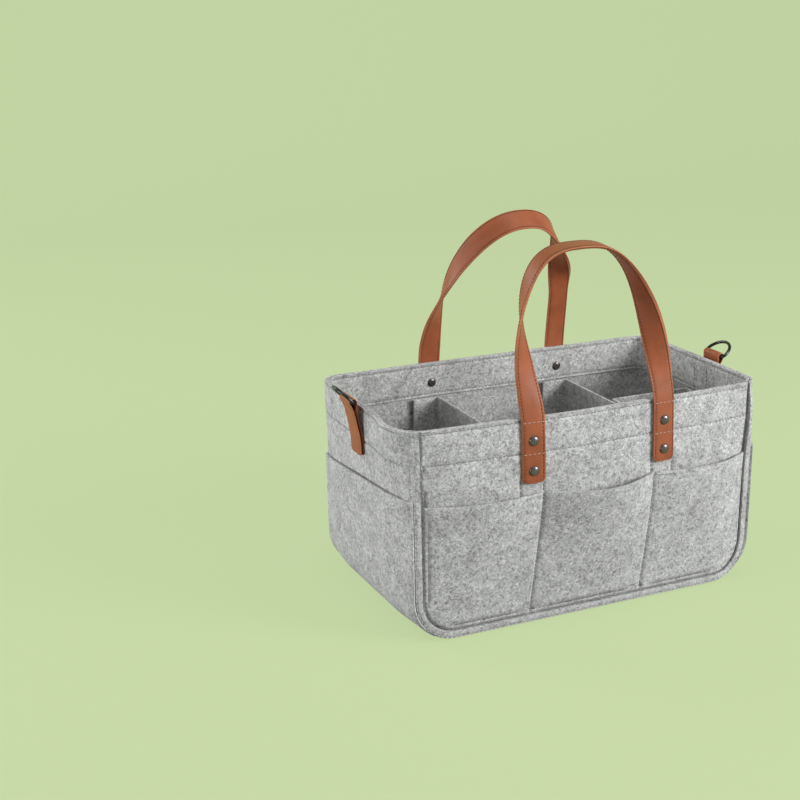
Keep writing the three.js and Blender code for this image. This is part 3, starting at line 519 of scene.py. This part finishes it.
def gusset():
    sx, sz, nx, nz = stations().T
    fin = SEAM_IN - CLEAR / 2
    tip = SEAM_FIN + (FIN_AT_RIM - SEAM_FIN) * smooth(sz + SEAM_IN * nz, HEIGHT - FIN_FADE, HEIGHT)
    pull = np.where(nz == 0.0, rows_dent(sz), 0.0)

    def place(y, inset):
        return soft(sx + inset * nx, y, sz + inset * nz)

    def on_lap(side, turn):
        """Outside of the corner, which laps over the panel and ends in the raw edge."""
        along, down = EDGE_ROUND * (cos(turn) - 1), EDGE_ROUND * (1 - sin(turn))
        return place(side * (HALF_D + tip + along), down)

    def lap(side):
        """Outside and inside of the corner, from the raw edge on."""
        under = [place(side * (HALF_D + share * tip), fin) for share in (1.0, 0.6, 0.25)]
        under.append(place(side * (HALF_D - FELT), fin))
        for turn in np.linspace(0.0, pi / 2, ARC + 1):
            c, s = cos(turn), sin(turn)
            along, down = EDGE_ROUND * (c - 1), EDGE_ROUND * (1 - s)
            under.append(place(side * (HALF_D + along - FELT * c), down + FELT * s))
        return [on_lap(side, turn) for turn in np.linspace(0.0, pi / 2, len(under))], under

    front, back = lap(FRONT), lap(BACK)
    outer = np.stack(front[0] + [place(y, pull) for y in END_YS] + back[0][::-1], 1)
    inner = np.stack(front[1] + [place(y, FELT) for y in END_YS] + back[1][::-1], 1)
    sheet("felt", "gusset", outer, inner)
    # stitches along each lap, and the rim rows across the ends
    c, s = cos(LAP_ROW), sin(LAP_ROW)
    for side in (FRONT, BACK):
        out = np.stack([-s * nx, side * c + 0 * nx, -s * nz], -1)
        sew("seams", on_lap(side, LAP_ROW), out, SEAM_STITCH)
    ys = np.linspace(-0.96, 0.96, 120) * (HALF_D - EDGE_ROUND)
    for row in (TOP_ROW, FACING_ROW):
        for side in (LEFT, RIGHT):
            sew("rim", soft(side * (HALF_W - ROW_DENT), ys, row), (side, 0.0, 0.0))


def upright_grid(inset, middle_xs, side_zs):
    """Upright grid with round bottom corners, and how far each point is from the seam."""
    radius = BASE_CORNER - inset
    arc = sqrt(2) * radius * np.sin(pi / 4 * np.arange(1, ARC + 1) / ARC)
    arc = np.concatenate([arc[arc < radius - GROOVE_REACH - 1.0], radius - GROOVE_STEPS])
    xs = np.concatenate([-(CORNER_X + arc)[::-1], middle_xs, CORNER_X + arc])
    zs = np.concatenate([(BASE_CORNER - arc)[::-1], side_zs])
    x, z = np.meshgrid(xs, zs, indexing="ij")
    p, q = np.maximum(0.0, np.abs(x) - CORNER_X), np.maximum(0.0, BASE_CORNER - z)
    round_p = p * np.sqrt(1 - q * q / (2 * radius * radius))
    round_q = q * np.sqrt(1 - p * p / (2 * radius * radius))
    return x + np.sign(x) * (round_p - p), z + q - round_q, radius - np.hypot(round_p, round_q)


def panel(name, side, feet):
    """Front or back plate, drawn in along its sides and foot, where the gusset laps over it."""
    inset = SEAM_IN + CLEAR / 2
    creases = [foot + edge for foot in feet for edge in (-STRAP / 2, STRAP / 2)]
    middle_xs = lines(-CORNER_X, CORNER_X, creases)
    x, z, to_seam = upright_grid(inset, middle_xs, SIDE_ZS)
    tack = sum(dent(x - c) for c in creases) * smooth(z, *TACK_START) * (1 - smooth(z, *TACK_END))
    inner = soft(x, side * (HALF_D - FELT), z)
    pull = np.maximum(np.maximum(rows_dent(z), tack), groove(to_seam - LAP_SHADE, SEAM_GROOVE))
    outer = soft(x, side * (HALF_D - pull), z)
    sheet("felt", name, outer, inner)
    out = (0.0, side, 0.0)
    for row in (TOP_ROW, FACING_ROW):
        xs = np.linspace(-1, 1, 700) * (HALF_W - inset - LAP_SHADE - GROOVE_REACH)
        sew("rim", soft(xs, side * (HALF_D - ROW_DENT), row), out)
        for foot in feet:
            xs = np.linspace(foot - STRAP / 2 + 0.6, foot + STRAP / 2 - 0.6, 30)
            sew("straps", soft(xs, side * (HALF_D + CLEAR + LEATHER + PROUD), row), out)
    for c in creases:
        zs = np.linspace(MOUTH - 4, STRAP_FOOT_Z + 1.5, 30)
        sew("pockets", soft(c, side * (HALF_D - DENT), zs), out, POCKET_STITCH)


def slip_pocket(name, side, feet):
    """Wide pocket stitched down into three; the raw mouth stands open between the stitches."""
    inset = SEAM_IN + POCKET_GAP
    edge = HALF_W - inset
    mirror, wall = -side, HALF_D + CLEAR
    beside = np.array([0.8, 1.6, 3.0, 5.5])  # grid lines next to a stitched one

    def stitched(z):
        """Where the two stitched lines are at a height."""
        share = np.clip(z / MOUTH, 0.0, 1.0)
        return [foot + (mouth - foot) * share for mouth, foot in (STITCH_LEFT, STITCH_RIGHT)]

    def columns_at(z):
        first, second = stitched(z)
        return np.concatenate([
            np.linspace(-CORNER_X, first - 10, 15), first - beside[::-1], [first], first + beside,
            np.linspace(first + 10, second - 10, 20), second - beside[::-1], [second],
            second + beside, np.linspace(second + 10, CORNER_X, 15)])

    def open_by(x, z):
        first, second = stitched(z)
        low, high, gape = (
            np.select([x < first, x < second], part[:2], part[2])
            for part in ((-edge, first, second), (first, second, edge), GAPES))
        share = np.clip((x - low) / (high - low), 0.0, 1.0)
        height = np.clip((z - inset) / (MOUTH - inset), 0.0, 1.0)
        return gape * np.sin(pi * share) * height ** 1.5

    middle = len(columns_at(MOUTH))
    x, z, to_seam = upright_grid(inset, columns_at(MOUTH), lines(BASE_CORNER, MOUTH))
    start = (len(x) - middle) // 2
    for j in range(x.shape[1]):
        x[start:start + middle, j] = columns_at(z[start + middle // 2, j])
    sewn = np.maximum(*(dent(x - line_x) for line_x in stitched(z)))
    pull = np.maximum(sewn, groove(to_seam, POCKET_GROOVE))
    inner = soft(mirror * x, side * (wall + open_by(x, z)), z)
    outer = soft(mirror * x, side * (wall + FELT + open_by(x, z) - pull), z)
    sheet("felt", name, outer, inner)
    out = (0.0, side, 0.0)
    zs = np.linspace(inset + 4, MOUTH - 0.5, 80)
    for xs in stitched(zs):
        sew("pockets", soft(mirror * xs, side * (wall + FELT - DENT), zs), out, POCKET_STITCH)
    tack_z = MOUTH - 2.5
    for foot in feet:
        xs = np.linspace(foot - STRAP / 2, foot + STRAP / 2, 30)
        run = soft(xs, side * (wall + FELT + open_by(mirror * xs, tack_z)), tack_z)
        sew("pockets", run, out, POCKET_STITCH)


def end_pocket(name, side):
    """Pocket on one end, wrapped round both upright edges and under the base corner."""
    flat = HALF_D - EDGE_ROUND + SEAM_FIN
    down = np.linspace(0.0, 1.0, round((END_MOUTH - BASE_CORNER) / STEP) + 1)
    under = np.linspace(0.0, END_POCKET_TURN, 2 * ARC)[1:]
    nx = np.concatenate([np.ones_like(down), np.cos(under)])
    nz = np.concatenate([np.zeros_like(down), np.sin(under)])
    wrap = np.linspace(pi / 4, pi / 2, ARC)[:-1]
    across = [(-flat, pi - turn) for turn in wrap]
    across += [(y, pi / 2) for y in np.concatenate([[-flat], END_YS, [flat]])]
    across += [(flat, turn) for turn in wrap[::-1]]
    thin = np.concatenate([
        np.ones_like(down), 1.0 - 0.85 * smooth(under / END_POCKET_TURN, 0.3, 1.0)])
    outer, inner = [], []
    for y, turn in across:
        mouth = END_MOUTH - END_SLANT * ((y / flat + 1) / 2) ** 2
        z = np.concatenate([
            mouth + (BASE_CORNER - mouth) * down, BASE_CORNER * (1 - np.sin(under))])
        open_by = END_GAPE * cos(pi / 2 * y / flat) * z / mouth
        for held, out in ((inner, CLEAR + open_by), (outer, CLEAR + FELT * thin + open_by)):
            inset = EDGE_ROUND - (EDGE_ROUND + out) * sin(turn)
            x = HALF_W - BASE_CORNER * (1 - nx) - inset * nx
            held.append(soft(side * x, y + (EDGE_ROUND + out) * cos(turn), z + inset * nz))
    sheet("felt", name, np.stack(outer, 1), np.stack(inner, 1))


def rim_facing():
    flat_x, flat_y = (half - FELT - CLEAR - FACING_CORNER for half in (HALF_W, HALF_D))
    z = lines(FACING_Z, HEIGHT, (TOP_ROW, FACING_ROW))[None, :]
    long_run = lines(-flat_x, flat_x)[1:-1]
    end_run = lines(-flat_y, flat_y)[1:-1]
    turns = np.linspace(0.0, pi / 2, ARC + 1)
    loop = []
    for cx, cy, quarter in ((1, -1, -1), (1, 1, 0), (-1, 1, 1), (-1, -1, 2)):
        for turn in turns + quarter * pi / 2:
            loop.append((cx * flat_x, cy * flat_y, cos(turn), sin(turn)))
        if cx == cy:
            loop += [(-cx * x, cy * flat_y, 0.0, cy) for x in long_run]
        else:
            loop += [(cx * flat_x, cx * y, cx, 0.0) for y in end_run]
    lx, ly, nx, ny = (v[:, None] for v in np.array(loop).T)

    def place(reach, z):
        return soft(lx + reach * nx, ly + reach * ny, z)

    inside = FACING_CORNER - FELT
    outer, inner = place(FACING_CORNER, z), place(inside + rows_dent(z), z)
    sheet("felt", "rim_facing", outer, inner, ring=True)
    inward = np.concatenate([-nx, -ny, 0 * nx], 1)
    for row in (TOP_ROW, FACING_ROW):
        sew("rim", place(inside + ROW_DENT, row)[:, 0], inward, closed=True)


# Dividers

def folded(plan):
    """Plan of a folded strip with its corners rounded, as points and left-hand normals."""
    plan = np.array(plan, float)
    points = [plan[0]]
    for before, corner, after in zip(plan[:-2], plan[1:-1], plan[2:]):
        back, ahead = unit(before - corner), unit(after - corner)
        for t in np.linspace(0.0, 1.0, 7):
            a, b = corner + back * FOLD_ROUND * (1 - t), corner + ahead * FOLD_ROUND * t
            points.append(a + (b - a) * t)
    points.append(plan[-1])
    fine = [points[0]]
    for a, b in zip(points[:-1], points[1:]):
        count = max(1, round(float(np.linalg.norm(b - a)) / STEP))
        fine += [a + (b - a) * k / count for k in range(1, count + 1)]
    fine = np.array(fine)
    along = unit(np.gradient(fine, axis=0))
    return fine, np.stack([-along[:, 1], along[:, 0]], -1)


def divider(name, plan, end_at=None):
    """Felt partition with a folded flange at each end. `end_at` keeps it off the base corner."""
    centre, normal = folded(plan)
    sides = []
    for sign in (0.5, -0.5):
        at = centre + sign * FELT * normal
        x, z = np.meshgrid(at[:, 0], DIVIDER_ZS, indexing="ij")
        if end_at is not None:
            x = np.minimum(x, end_at(z) + (x - centre[:, :1]))
        sides.append(soft(x, at[:, 1:], z))
    sheet("felt", name, *sides, FELT_LOOK, name, "divider_felt")


def long_divider(name, web_x):
    reach = HALF_D - FELT - TAPED - FELT / 2
    tip_x = web_x + FELT / 2 - FLANGE
    divider(name, [(tip_x, -reach), (web_x, -reach), (web_x, reach), (tip_x, reach)])
    zs = np.linspace(DIVIDER_ZS[0] + ROW_FOOT, DIVIDER_TOP - FLANGE_ROW, 120)
    ends = tip_x + FLANGE_ROW, web_x - WEB_ROW
    for side in (FRONT, BACK):
        y = side * (reach - FELT / 2 - PROUD)
        for row in [soft(x, y, zs) for x in ends] + [soft(np.linspace(*ends, 30), y, zs[-1])]:
            sew(name, row, (0.0, -side, 0.0), FLANGE_STITCH)


def tape(body, at, start, end, out, foot):
    """Strip behind a flange, from start to end in plan."""
    zs = lines(foot, TAPE_HEAD)
    t = np.linspace(0.0, 1.0, 8)[:, None]
    x, y = (a + (b - a) * t for a, b in zip(start, end))
    face, back = (soft(x + out[0] * off, y + out[1] * off, zs) for off in (TAPE_ROOM, TAPE))
    sheet("woven", f"{body}_{at}_tape", face, back, TAPE_LOOK, body, "hook_tape", 0.3)


def dividers():
    wall_y = HALF_D - FELT - CLEAR
    for hand, web_x in (("left", DIVIDER_LEFT_X), ("right", DIVIDER_RIGHT_X)):
        name = hand + "_divider"
        long_divider(name, web_x)
        tape_x = web_x - TAPE_IN
        for end, side in (("front", FRONT), ("back", BACK)):
            y = side * wall_y
            tape(name, end, (tape_x - TAPE_WIDTH, y), (tape_x, y), (0.0, -side), TAPE_FOOT)
    from_x = DIVIDER_RIGHT_X + FELT / 2 + TAPED + FELT / 2
    to_x = HALF_W - FELT - TAPED - FELT / 2
    tip_y = CROSS_Y + FELT / 2 - FLANGE
    radius = BASE_CORNER - FELT - TAPED - FELT / 2

    def end_at(z):
        drop = np.maximum(0.0, BASE_CORNER - z)
        return CORNER_X + np.sqrt(np.maximum(0.0, radius * radius - drop * drop))

    plan = [(from_x, tip_y), (from_x, CROSS_Y), (to_x, CROSS_Y), (to_x, tip_y)]
    divider("cross_divider", plan, end_at)
    for x, inward in ((from_x, 1), (to_x, -1)):
        foot = (DIVIDER_ZS[0] if inward > 0 else BASE_CORNER) + ROW_FOOT
        zs = np.linspace(foot, DIVIDER_TOP - FLANGE_ROW, 120)
        for y in (tip_y + FLANGE_ROW, CROSS_Y - WEB_ROW):
            run = soft(x + inward * (FELT / 2 + PROUD), y, zs)
            sew("cross_divider", run, (inward, 0.0, 0.0), FLANGE_STITCH)
    tape_y, foot = CROSS_Y - TAPE_IN, BASE_CORNER + CROSS_TAPE_FOOT
    taped = (("left", DIVIDER_RIGHT_X + FELT / 2 + CLEAR, 1), ("right", HALF_W - FELT - CLEAR, -1))
    for end, x, out in taped:
        tape("cross_divider", end, (x, tape_y - TAPE_WIDTH), (x, tape_y), (out, 0.0), foot)


# Leather
CROWN, GROOVE, GROOVE_HALF = 0.2, 0.22, 0.7  # of a strip's face, and of its stitch grooves
STRAP_EDGE, TAB_EDGE = 0.9, 0.4  # rounding of the cut edges
STRAP_LIE_Z, STRAP_FREE = 160.0, 25.0  # where a strap takes the wall's slope, and how long


def section(width, thick, edge_round):
    """Across and through a strip: pressed stitch grooves near rounded, bare edges."""
    w, t, r = width / 2, thick / 2, edge_round
    row = w - LEATHER_ROW
    crown = [(row + GROOVE_HALF, 0.0), (row, -GROOVE), (row - GROOVE_HALF, 0.05),
             (0.55 * w, 0.16), (0.2 * w, CROWN)]
    face = [(-a, rise) for a, rise in crown] + crown[::-1]
    arc = [(r * sin(a), r * cos(a)) for a in np.linspace(0.0, pi / 2, 4)]
    half = [(a, t - CROWN + rise) for a, rise in face]
    half += [(w - r + s, t - CROWN - r + c) for s, c in arc]
    edge = [False] * len(face) + [True] * len(arc)
    return np.array(half + [(-a, -b) for a, b in half]), edge * 2


def strap_mesh(name, path, width_dir, normal, widths, width, thick, edge_round):
    """Strip swept along frames, with its cut edges and ends in their own rougher look, toned
    lighter than the face as a painted highlight.
    """
    outline, edge = section(width, thick, edge_round)
    a, b = outline.T
    rings = path[:, None] + width_dir[:, None] * (a[None, :] * widths[:, None])[..., None] + \
        normal[:, None] * b[None, :, None]
    obj = tube(name, rings, [LEATHER_LOOK, EDGE_LOOK_WITH_PAINTED_HIGHLIGHT], None)
    sides = len(outline)
    for n, face in enumerate(obj.data.polygons):
        face.material_index = 1 if n >= (len(path) - 1) * sides or edge[n % sides] else 0
    return obj


def foot_widths(run, width, radius):
    """Share of its width that a strip has along its run, with round corners at both ends."""
    below = np.clip(radius - np.minimum(run, run[-1] - run), 0.0, radius)
    return (width / 2 - radius + np.sqrt(radius ** 2 - below ** 2)) / (width / 2)


def eased(path, reach):
    """Path with the sharp bends taken out over about `reach` samples."""
    pad = 3 * reach
    kernel = np.exp(-0.5 * (np.arange(-pad, pad + 1) / reach) ** 2)
    kernel /= kernel.sum()
    before = path[:1] + (path[:1] - path[1:2]) * np.arange(pad, 0, -1)[:, None]
    after = path[-1:] + (path[-1:] - path[-2:-1]) * np.arange(1, pad + 1)[:, None]
    full = np.vstack([before, path, after])
    return np.stack([np.convolve(full[:, k], kernel, "valid") for k in range(3)], -1)


def wall_normal(side, x, z):
    across = soft(x + 1, side * HALF_D, z) - soft(x - 1, side * HALF_D, z)
    upward = soft(x, side * HALF_D, z + 1) - soft(x, side * HALF_D, z - 1)
    return unit(np.cross(across, upward))


def outline_sew(place, frames, width, thick, sign=1):
    """Stitches all the way round one face of a strip, a little in from its edges."""
    run, path, width_dir, normal = frames
    first, last, half = LEATHER_ROW, run[-1] - LEATHER_ROW, width / 2 - LEATHER_ROW
    s = np.concatenate([np.linspace(first, last, 400), np.full(12, last),
                        np.linspace(last, first, 400), np.full(12, first)])
    a = np.concatenate([np.full(400, -half), np.linspace(-half, half, 12),
                        np.full(400, half), np.linspace(half, -half, 12)])
    up = unit(at_run(s, run, normal)) * sign
    points = at_run(s, run, path) + unit(at_run(s, run, width_dir)) * a[:, None] + \
        up * (thick / 2 - 0.4)
    sew(place, points, up, LEATHER_STITCH)


def handle(name, side, feet, lean, power, sway, arch, bulge, turn, left, right):
    """One strap: sewn end, loop and other sewn end, which turns on its way over the box."""
    foot = HALF_D + CLEAR + LEATHER / 2
    start = HEIGHT + FOLD_GAP / 2 + LEATHER / 2 * sin(FOLD_BEVEL)
    angle = np.linspace(0.0, pi, 900)
    c, up = np.cos(angle), np.abs(np.sin(angle)) ** (2 / arch)
    x = (feet[0] + feet[1]) / 2 - (feet[1] - feet[0]) / 2 * np.sign(c) * np.abs(c) ** (2 / arch)
    swell = np.where(c > 0, bulge * np.sin(pi * up) ** 2, 0.0)
    wall_y = soft(x, side * foot, HEIGHT)[:, 1]
    loop = np.stack([x + sway * up - swell, wall_y - side * lean * up ** power,
                     start + RISE * up], -1)
    leg_z = np.linspace(STRAP_FOOT_Z, HEIGHT, 58)
    legs = [soft(foot_x, side * foot, leg_z) for foot_x in feet]
    rough = np.vstack([legs[0], loop, legs[1][::-1]])
    run = run_of(rough)
    path = eased(at_run(np.linspace(0.0, run[-1], round(run[-1])), run, rough), 3)
    run = run_of(path)
    total = run[-1]
    first_half = run < total / 2
    leg = HEIGHT - STRAP_FOOT_Z
    along = unit(np.gradient(path, axis=0))
    above = np.clip((path[:, 2] - start) / RISE, 0.0, 1.0)
    turned = np.where(first_half, smooth(above, *left), smooth(above, *right))
    tilt = np.radians(90.0 - turn * turned)[:, None]
    inside = unit(np.stack([along[:, 2], 0 * above, -along[:, 0]], -1))
    facing = inside * np.cos(tilt) - np.array([0.0, 1.0, 0.0]) * np.sin(tilt)
    flat = np.where(first_half[:, None],
                    *(wall_normal(side, foot_x, STRAP_LIE_Z) for foot_x in feet))
    flat = flat * -np.sign(flat[:, 1:2])
    free = smooth(np.minimum(run, total - run), leg, leg + STRAP_FREE)[:, None]
    facing = flat * (1 - free) + facing * free
    normal = unit(facing - along * np.sum(facing * along, -1, keepdims=True))
    width_dir = np.cross(along, normal)
    near = np.array([0.0, 0.15, 0.45, 0.9, 1.5, 2.3, 3.3, 4.3])
    middle = np.linspace(5.0, total - 5.0, round((total - 10.0) / 3.0))
    where = np.concatenate([near, middle, (total - near)[::-1]])
    frames = (run, path, width_dir, normal)
    places, across, out = (at_run(where, run, values) for values in frames[1:])
    obj = strap_mesh(f"leather_{name}_handle", places, unit(across), unit(out),
                     foot_widths(where, STRAP, STRAP_FOOT_ROUND), STRAP, LEATHER, STRAP_EDGE)
    for sign in (1, -1):
        outline_sew(name + "_handle", frames, STRAP, LEATHER, sign)
    sewn = stitches(name + "_handle", BROWN_THREAD, None, 0.38, 0.18)
    for piece in (obj, sewn):
        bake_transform(piece)
    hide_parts(name + "_handle", name + "_handle_left_end", name + "_handle_right_end")


def tab(name, side, y, up):
    """Strip folded over the ring's bar, both layers sewn to the outside of the end."""
    radius = RING_WIRE / 2 + LOOP_SLACK + TAB_LEATHER / 2
    apart = (TAB_LEATHER + CLEAR) / 2
    between = CLEAR + TAB_LEATHER / 2 + apart
    centre = np.array([LOOP_OUT, HEIGHT + up])
    lean = centre - (between, TAB_FLAT_Z)
    upward = atan2(lean[1], lean[0])
    spread = asin((radius - apart) / TAB_WAIST)
    enter, leave = upward + pi / 2 + spread, upward - pi / 2 - spread
    waist = centre - TAB_WAIST * unit(lean)
    outside = np.array([sin(upward), -cos(upward)])
    t = np.linspace(0.0, 1.0, 9)[:, None]

    def bent(before, corner, after):
        return before * (1 - t) ** 2 + 2 * corner * t * (1 - t) + after * t * t

    def on_loop(turn):
        return centre + radius * np.stack([np.cos(turn), np.sin(turn)], -1)

    def layer(offset, turn):
        """One layer, from its foot past the knee to the waist, where it parts round the ring."""
        foot, knee = (np.array([between + offset, z]) for z in (TAB_FOOT_Z, TAB_FLAT_Z))
        part, loop = waist + offset * outside, on_loop(turn)
        below, above = knee - (0.0, TAB_BEND), knee + TAB_BEND * unit(part - knee)
        nearly, after = part + TAB_PART * unit(knee - part), part + TAB_PART * unit(loop - part)
        return np.vstack([foot + (below - foot) * t[:-1] ** 2, bent(below, knee, above),
                          above + (nearly - above) * t[1:-1], bent(nearly, part, after),
                          after + (loop - after) * t[2:-1:2]])

    line = np.vstack([layer(-apart, enter), on_loop(np.linspace(enter, leave, 30)),
                      layer(apart, leave)[::-1]])
    path = soft(side * (HALF_W + line[:, 0]), y, line[:, 1])
    run = run_of(path)
    along = unit(np.gradient(path, axis=0))
    normal = np.cross(along, [0.0, 1.0, 0.0]) * -side
    width_dir = np.cross(normal, along)
    obj = strap_mesh(f"leather_{name}_tab", path, width_dir, normal,
                     foot_widths(run, TAB_WIDTH, TAB_FOOT_ROUND), TAB_WIDTH, TAB_LEATHER, TAB_EDGE)
    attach(obj, "box")
    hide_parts(name + "_tab")
    outline_sew("tabs", (run, path, width_dir, normal), TAB_WIDTH, TAB_LEATHER)
    zs = np.linspace(FACING_Z + 1.0, HEIGHT - 6.0, 30)
    for edge in (-1, 1):
        edge_y = y + edge * (TAB_WIDTH / 2 - LEATHER_ROW)
        sew("rim", soft(side * (HALF_W - 2 * FELT - CLEAR), edge_y, zs), (-side, 0.0, 0.0))


def d_ring(name, side, y, up, tilt):
    centre = soft(side * (HALF_W + LOOP_OUT), y, HEIGHT + up)
    out = np.array([side * cos(tilt), 0.0, sin(tilt)])
    across = np.array([0.0, 1.0, 0.0])
    half = RING_WIDTH / 2
    inner = half - RING_CORNER
    corner = [(inner + RING_CORNER * cos(a), RING_CORNER * (1 + sin(a)))
              for a in np.linspace(-pi / 2, 0.0, 9)[1:]]
    line = [(v, 0.0) for v in np.linspace(-inner, inner, 14)] + corner
    line += [(half * cos(a), RING_CORNER + (RING_DEPTH - RING_CORNER) * sin(a))
             for a in np.linspace(0.0, pi, 56)[1:]]
    line += [(-v, u) for v, u in corner[-2::-1]]
    line = np.array(line)
    along = unit(np.roll(line, -1, 0) - np.roll(line, 1, 0))
    normal = across * along[:, 1:] - out * along[:, :1]
    flat = np.cross(across, out)
    turns = full_turn(16)[:, None]
    middle = centre + across * line[:, :1] + out * line[:, 1:]
    rings = middle[:, None] + RING_WIRE / 2 * (
        normal[:, None] * np.cos(turns) + flat * np.sin(turns))
    wire = tube(f"wire_{name}_d_ring", rings, METAL_LOOK, name + "_ring", True)
    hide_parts(name + "_d_ring")


def rivet(name, side, x, z):
    """Domed cap with a rolled rim on the strap, shank through the felt, domed back inside."""
    cap_at = CLEAR + LEATHER + PROUD
    layers = 2 * FELT + CLEAR if z > FACING_Z else FELT
    back_at = -(layers + 0.15)
    profile = [(RIVET_CAP * sin(a), cap_at + 0.35 + (RIVET_DOME - 0.35) * cos(a))
               for a in np.linspace(0.0, pi / 2, 12)]
    profile += [(RIVET_CAP + 0.1, cap_at + 0.18), (RIVET_CAP - 0.1, cap_at - PROUD),
                (RIVET_SHANK, cap_at - PROUD), (RIVET_SHANK, back_at), (RIVET_BACK, back_at)]
    profile += [(RIVET_BACK * sin(a), back_at - RIVET_BACK_DOME * cos(a))
                for a in np.linspace(pi / 2, 0.0, 10)[1:]]
    profile = np.array(profile)
    profile[[0, -1], 0] = 0.02
    out = -side * wall_normal(side, x, z)
    right = unit(np.cross(out, [0.0, 0.0, 1.0]))
    upward = np.cross(right, out)
    turns = full_turn(28)[:, None]
    centre = soft(x, side * HALF_D, z)
    rings = centre + out * profile[:, None, 1:] + profile[:, None, :1] * (
        right * np.cos(turns) + upward * np.sin(turns))
    obj = tube("domed_" + name, rings, RIVET_LOOK, "box")
    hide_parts(name)


gusset()
for make, kind in ((panel, "_panel"), (slip_pocket, "_pocket")):
    for hand, spec in HANDLES.items():
        make(hand + kind, spec["side"], spec["feet"])
for hand, spec in TABS.items():
    end_pocket(hand + "_pocket", spec["side"])
rim_facing()
dividers()
for hand, spec in HANDLES.items():
    handle(hand, **spec)
    for leg_name, leg_x in zip(("left", "right"), spec["feet"]):
        for row_name, row_z in RIVET_ZS.items():
            rivet(f"{hand}_{leg_name}_{row_name}_rivet", spec["side"], leg_x, row_z)
for hand, spec in TABS.items():
    tab(hand, **spec)
    d_ring(hand, tilt=RING_TILTS[hand], **spec)
# the rim and pocket rows take the thread darkened with painted groove shade
stitches("rim", THREAD_WITH_PAINTED_SHADE, "box")
stitches("straps", STRAP_THREAD, "box", 0.32, 0.25)
stitches("pockets", THREAD_WITH_PAINTED_SHADE, "box")
stitches("seams", GREY_THREAD, "box")
stitches("tabs", BROWN_THREAD, "box", 0.4, 0.35)
for hand in ("left_divider", "right_divider", "cross_divider"):
    stitches(hand, GREY_THREAD, hand)


# Studio: lengths of the ground and the camera in millimetres, of the lamps in metres
FLOOR_REACH, SWEEP_FROM, SWEEP, BACKDROP = 40000.0, 1900.0, 900.0, 4500.0
SEEN, LIT, GLOW = (0.575, 0.695, 0.388), (0.22, 0.22, 0.216), 0.86  # the ground
CAMERA_TURN, CAMERA_TILT, CAMERA_AWAY = radians(-26.66), radians(17.26), 1354.6
CAMERA_AIM, LAMP_AIM = (-60.13, 0.0, 163.71), (0.0, 0.0, 0.13)
FOCAL, IMAGE, SENSOR = 1500.4, 800, 36.0  # pixels, pixels, millimetres


def stage_look():
    """Pale ground: the camera and reflections see one colour, light bounces off a neutral one."""
    look, tree, shader, node = node_material("pale_ground")
    link = tree.links.new
    path = node("ShaderNodeLightPath").outputs
    grain = node("ShaderNodeTexNoise", Scale=3.0, Detail=3.0)
    ground = ramp(tree, grain.outputs["Fac"], [(0.3, toned(SEEN, 0.985)), (0.7, SEEN)])
    mirrored = maths(tree, "MAXIMUM", path["Is Glossy Ray"], path["Is Transmission Ray"])
    direct = maths(tree, "MAXIMUM", path["Is Camera Ray"], mirrored)
    link(mix(tree, direct, (*LIT, 1.0), ground), shader.inputs["Base Color"])
    put(shader, Roughness=0.95, Specular_IOR_Level=0.1)
    glow = node("ShaderNodeEmission")
    link(ground, glow.inputs["Color"])
    both = node("ShaderNodeMixShader")
    link(maths(tree, "MULTIPLY", direct, GLOW), both.inputs["Fac"])
    link(shader.outputs["BSDF"], both.inputs[1])
    link(glow.outputs["Emission"], both.inputs[2])
    link(both.outputs["Shader"], tree.nodes["Material Output"].inputs["Surface"])
    return look


def studio():
    # floor that sweeps up into a backdrop behind the box
    bend = [(SWEEP_FROM + SWEEP * sin(a), SWEEP - SWEEP * cos(a))
            for a in np.linspace(0.0, pi / 2, 16)]
    profile = [(-FLOOR_REACH, 0.0), (0.0, 0.0)] + bend + [(SWEEP_FROM + SWEEP, BACKDROP)]
    points = np.array([(x, y, z) for x in (-FLOOR_REACH, 0.0, FLOOR_REACH) for y, z in profile])
    ground = mesh_object("ground", points, grid_quads(3, len(profile)), stage_look(), None)

    world = bpy.data.worlds.new("studio")
    bpy.context.scene.world = world
    world.use_nodes = True
    put(world.node_tree.nodes["Background"], Color=(0.95, 0.97, 1.0, 1.0), Strength=0.41)

    def area(name, place, width, height, power, spread=180.0):
        lamp = bpy.data.lights.new(name, "AREA")
        lamp.shape = "ELLIPSE"
        lamp.size, lamp.size_y = width, height
        lamp.energy = power
        lamp.spread = radians(spread)
        obj = bpy.data.objects.new(name, lamp)
        bpy.context.scene.collection.objects.link(obj)
        obj.location = place
        aim = Vector(LAMP_AIM) - obj.location
        obj.rotation_euler = aim.to_track_quat("-Z", "Y").to_euler()

    area("key", (1.2, -1.5, 0.88), 1.0, 1.0, 42.5)
    area("fill", (-1.4, 0.0, 0.24), 0.7, 0.25, 1.5, 75.0)
    area("top", (0.1, -0.35, 1.9), 1.2, 1.2, 6.5)
    area("back", (-1.3, 1.35, 1.05), 1.0, 1.0, 16.0)

    level = cos(CAMERA_TILT)
    back = np.array([sin(CAMERA_TURN) * level, -cos(CAMERA_TURN) * level, sin(CAMERA_TILT)])
    place = (np.array(CAMERA_AIM) + back * CAMERA_AWAY) * MM
    lens = bpy.data.cameras.new("camera")
    lens.sensor_width = SENSOR
    lens.lens = FOCAL / IMAGE * SENSOR
    lens.shift_x = -0.10
    lens.shift_y = 0.01875
    lens.clip_end = 50.0
    camera = bpy.data.objects.new("camera", lens)
    bpy.context.scene.collection.objects.link(camera)
    camera.location = place.tolist()
    camera.rotation_euler = (pi / 2 - CAMERA_TILT, 0.0, CAMERA_TURN)
    bpy.context.scene.camera = camera
    bpy.context.scene.view_settings.view_transform = "Standard"


studio()
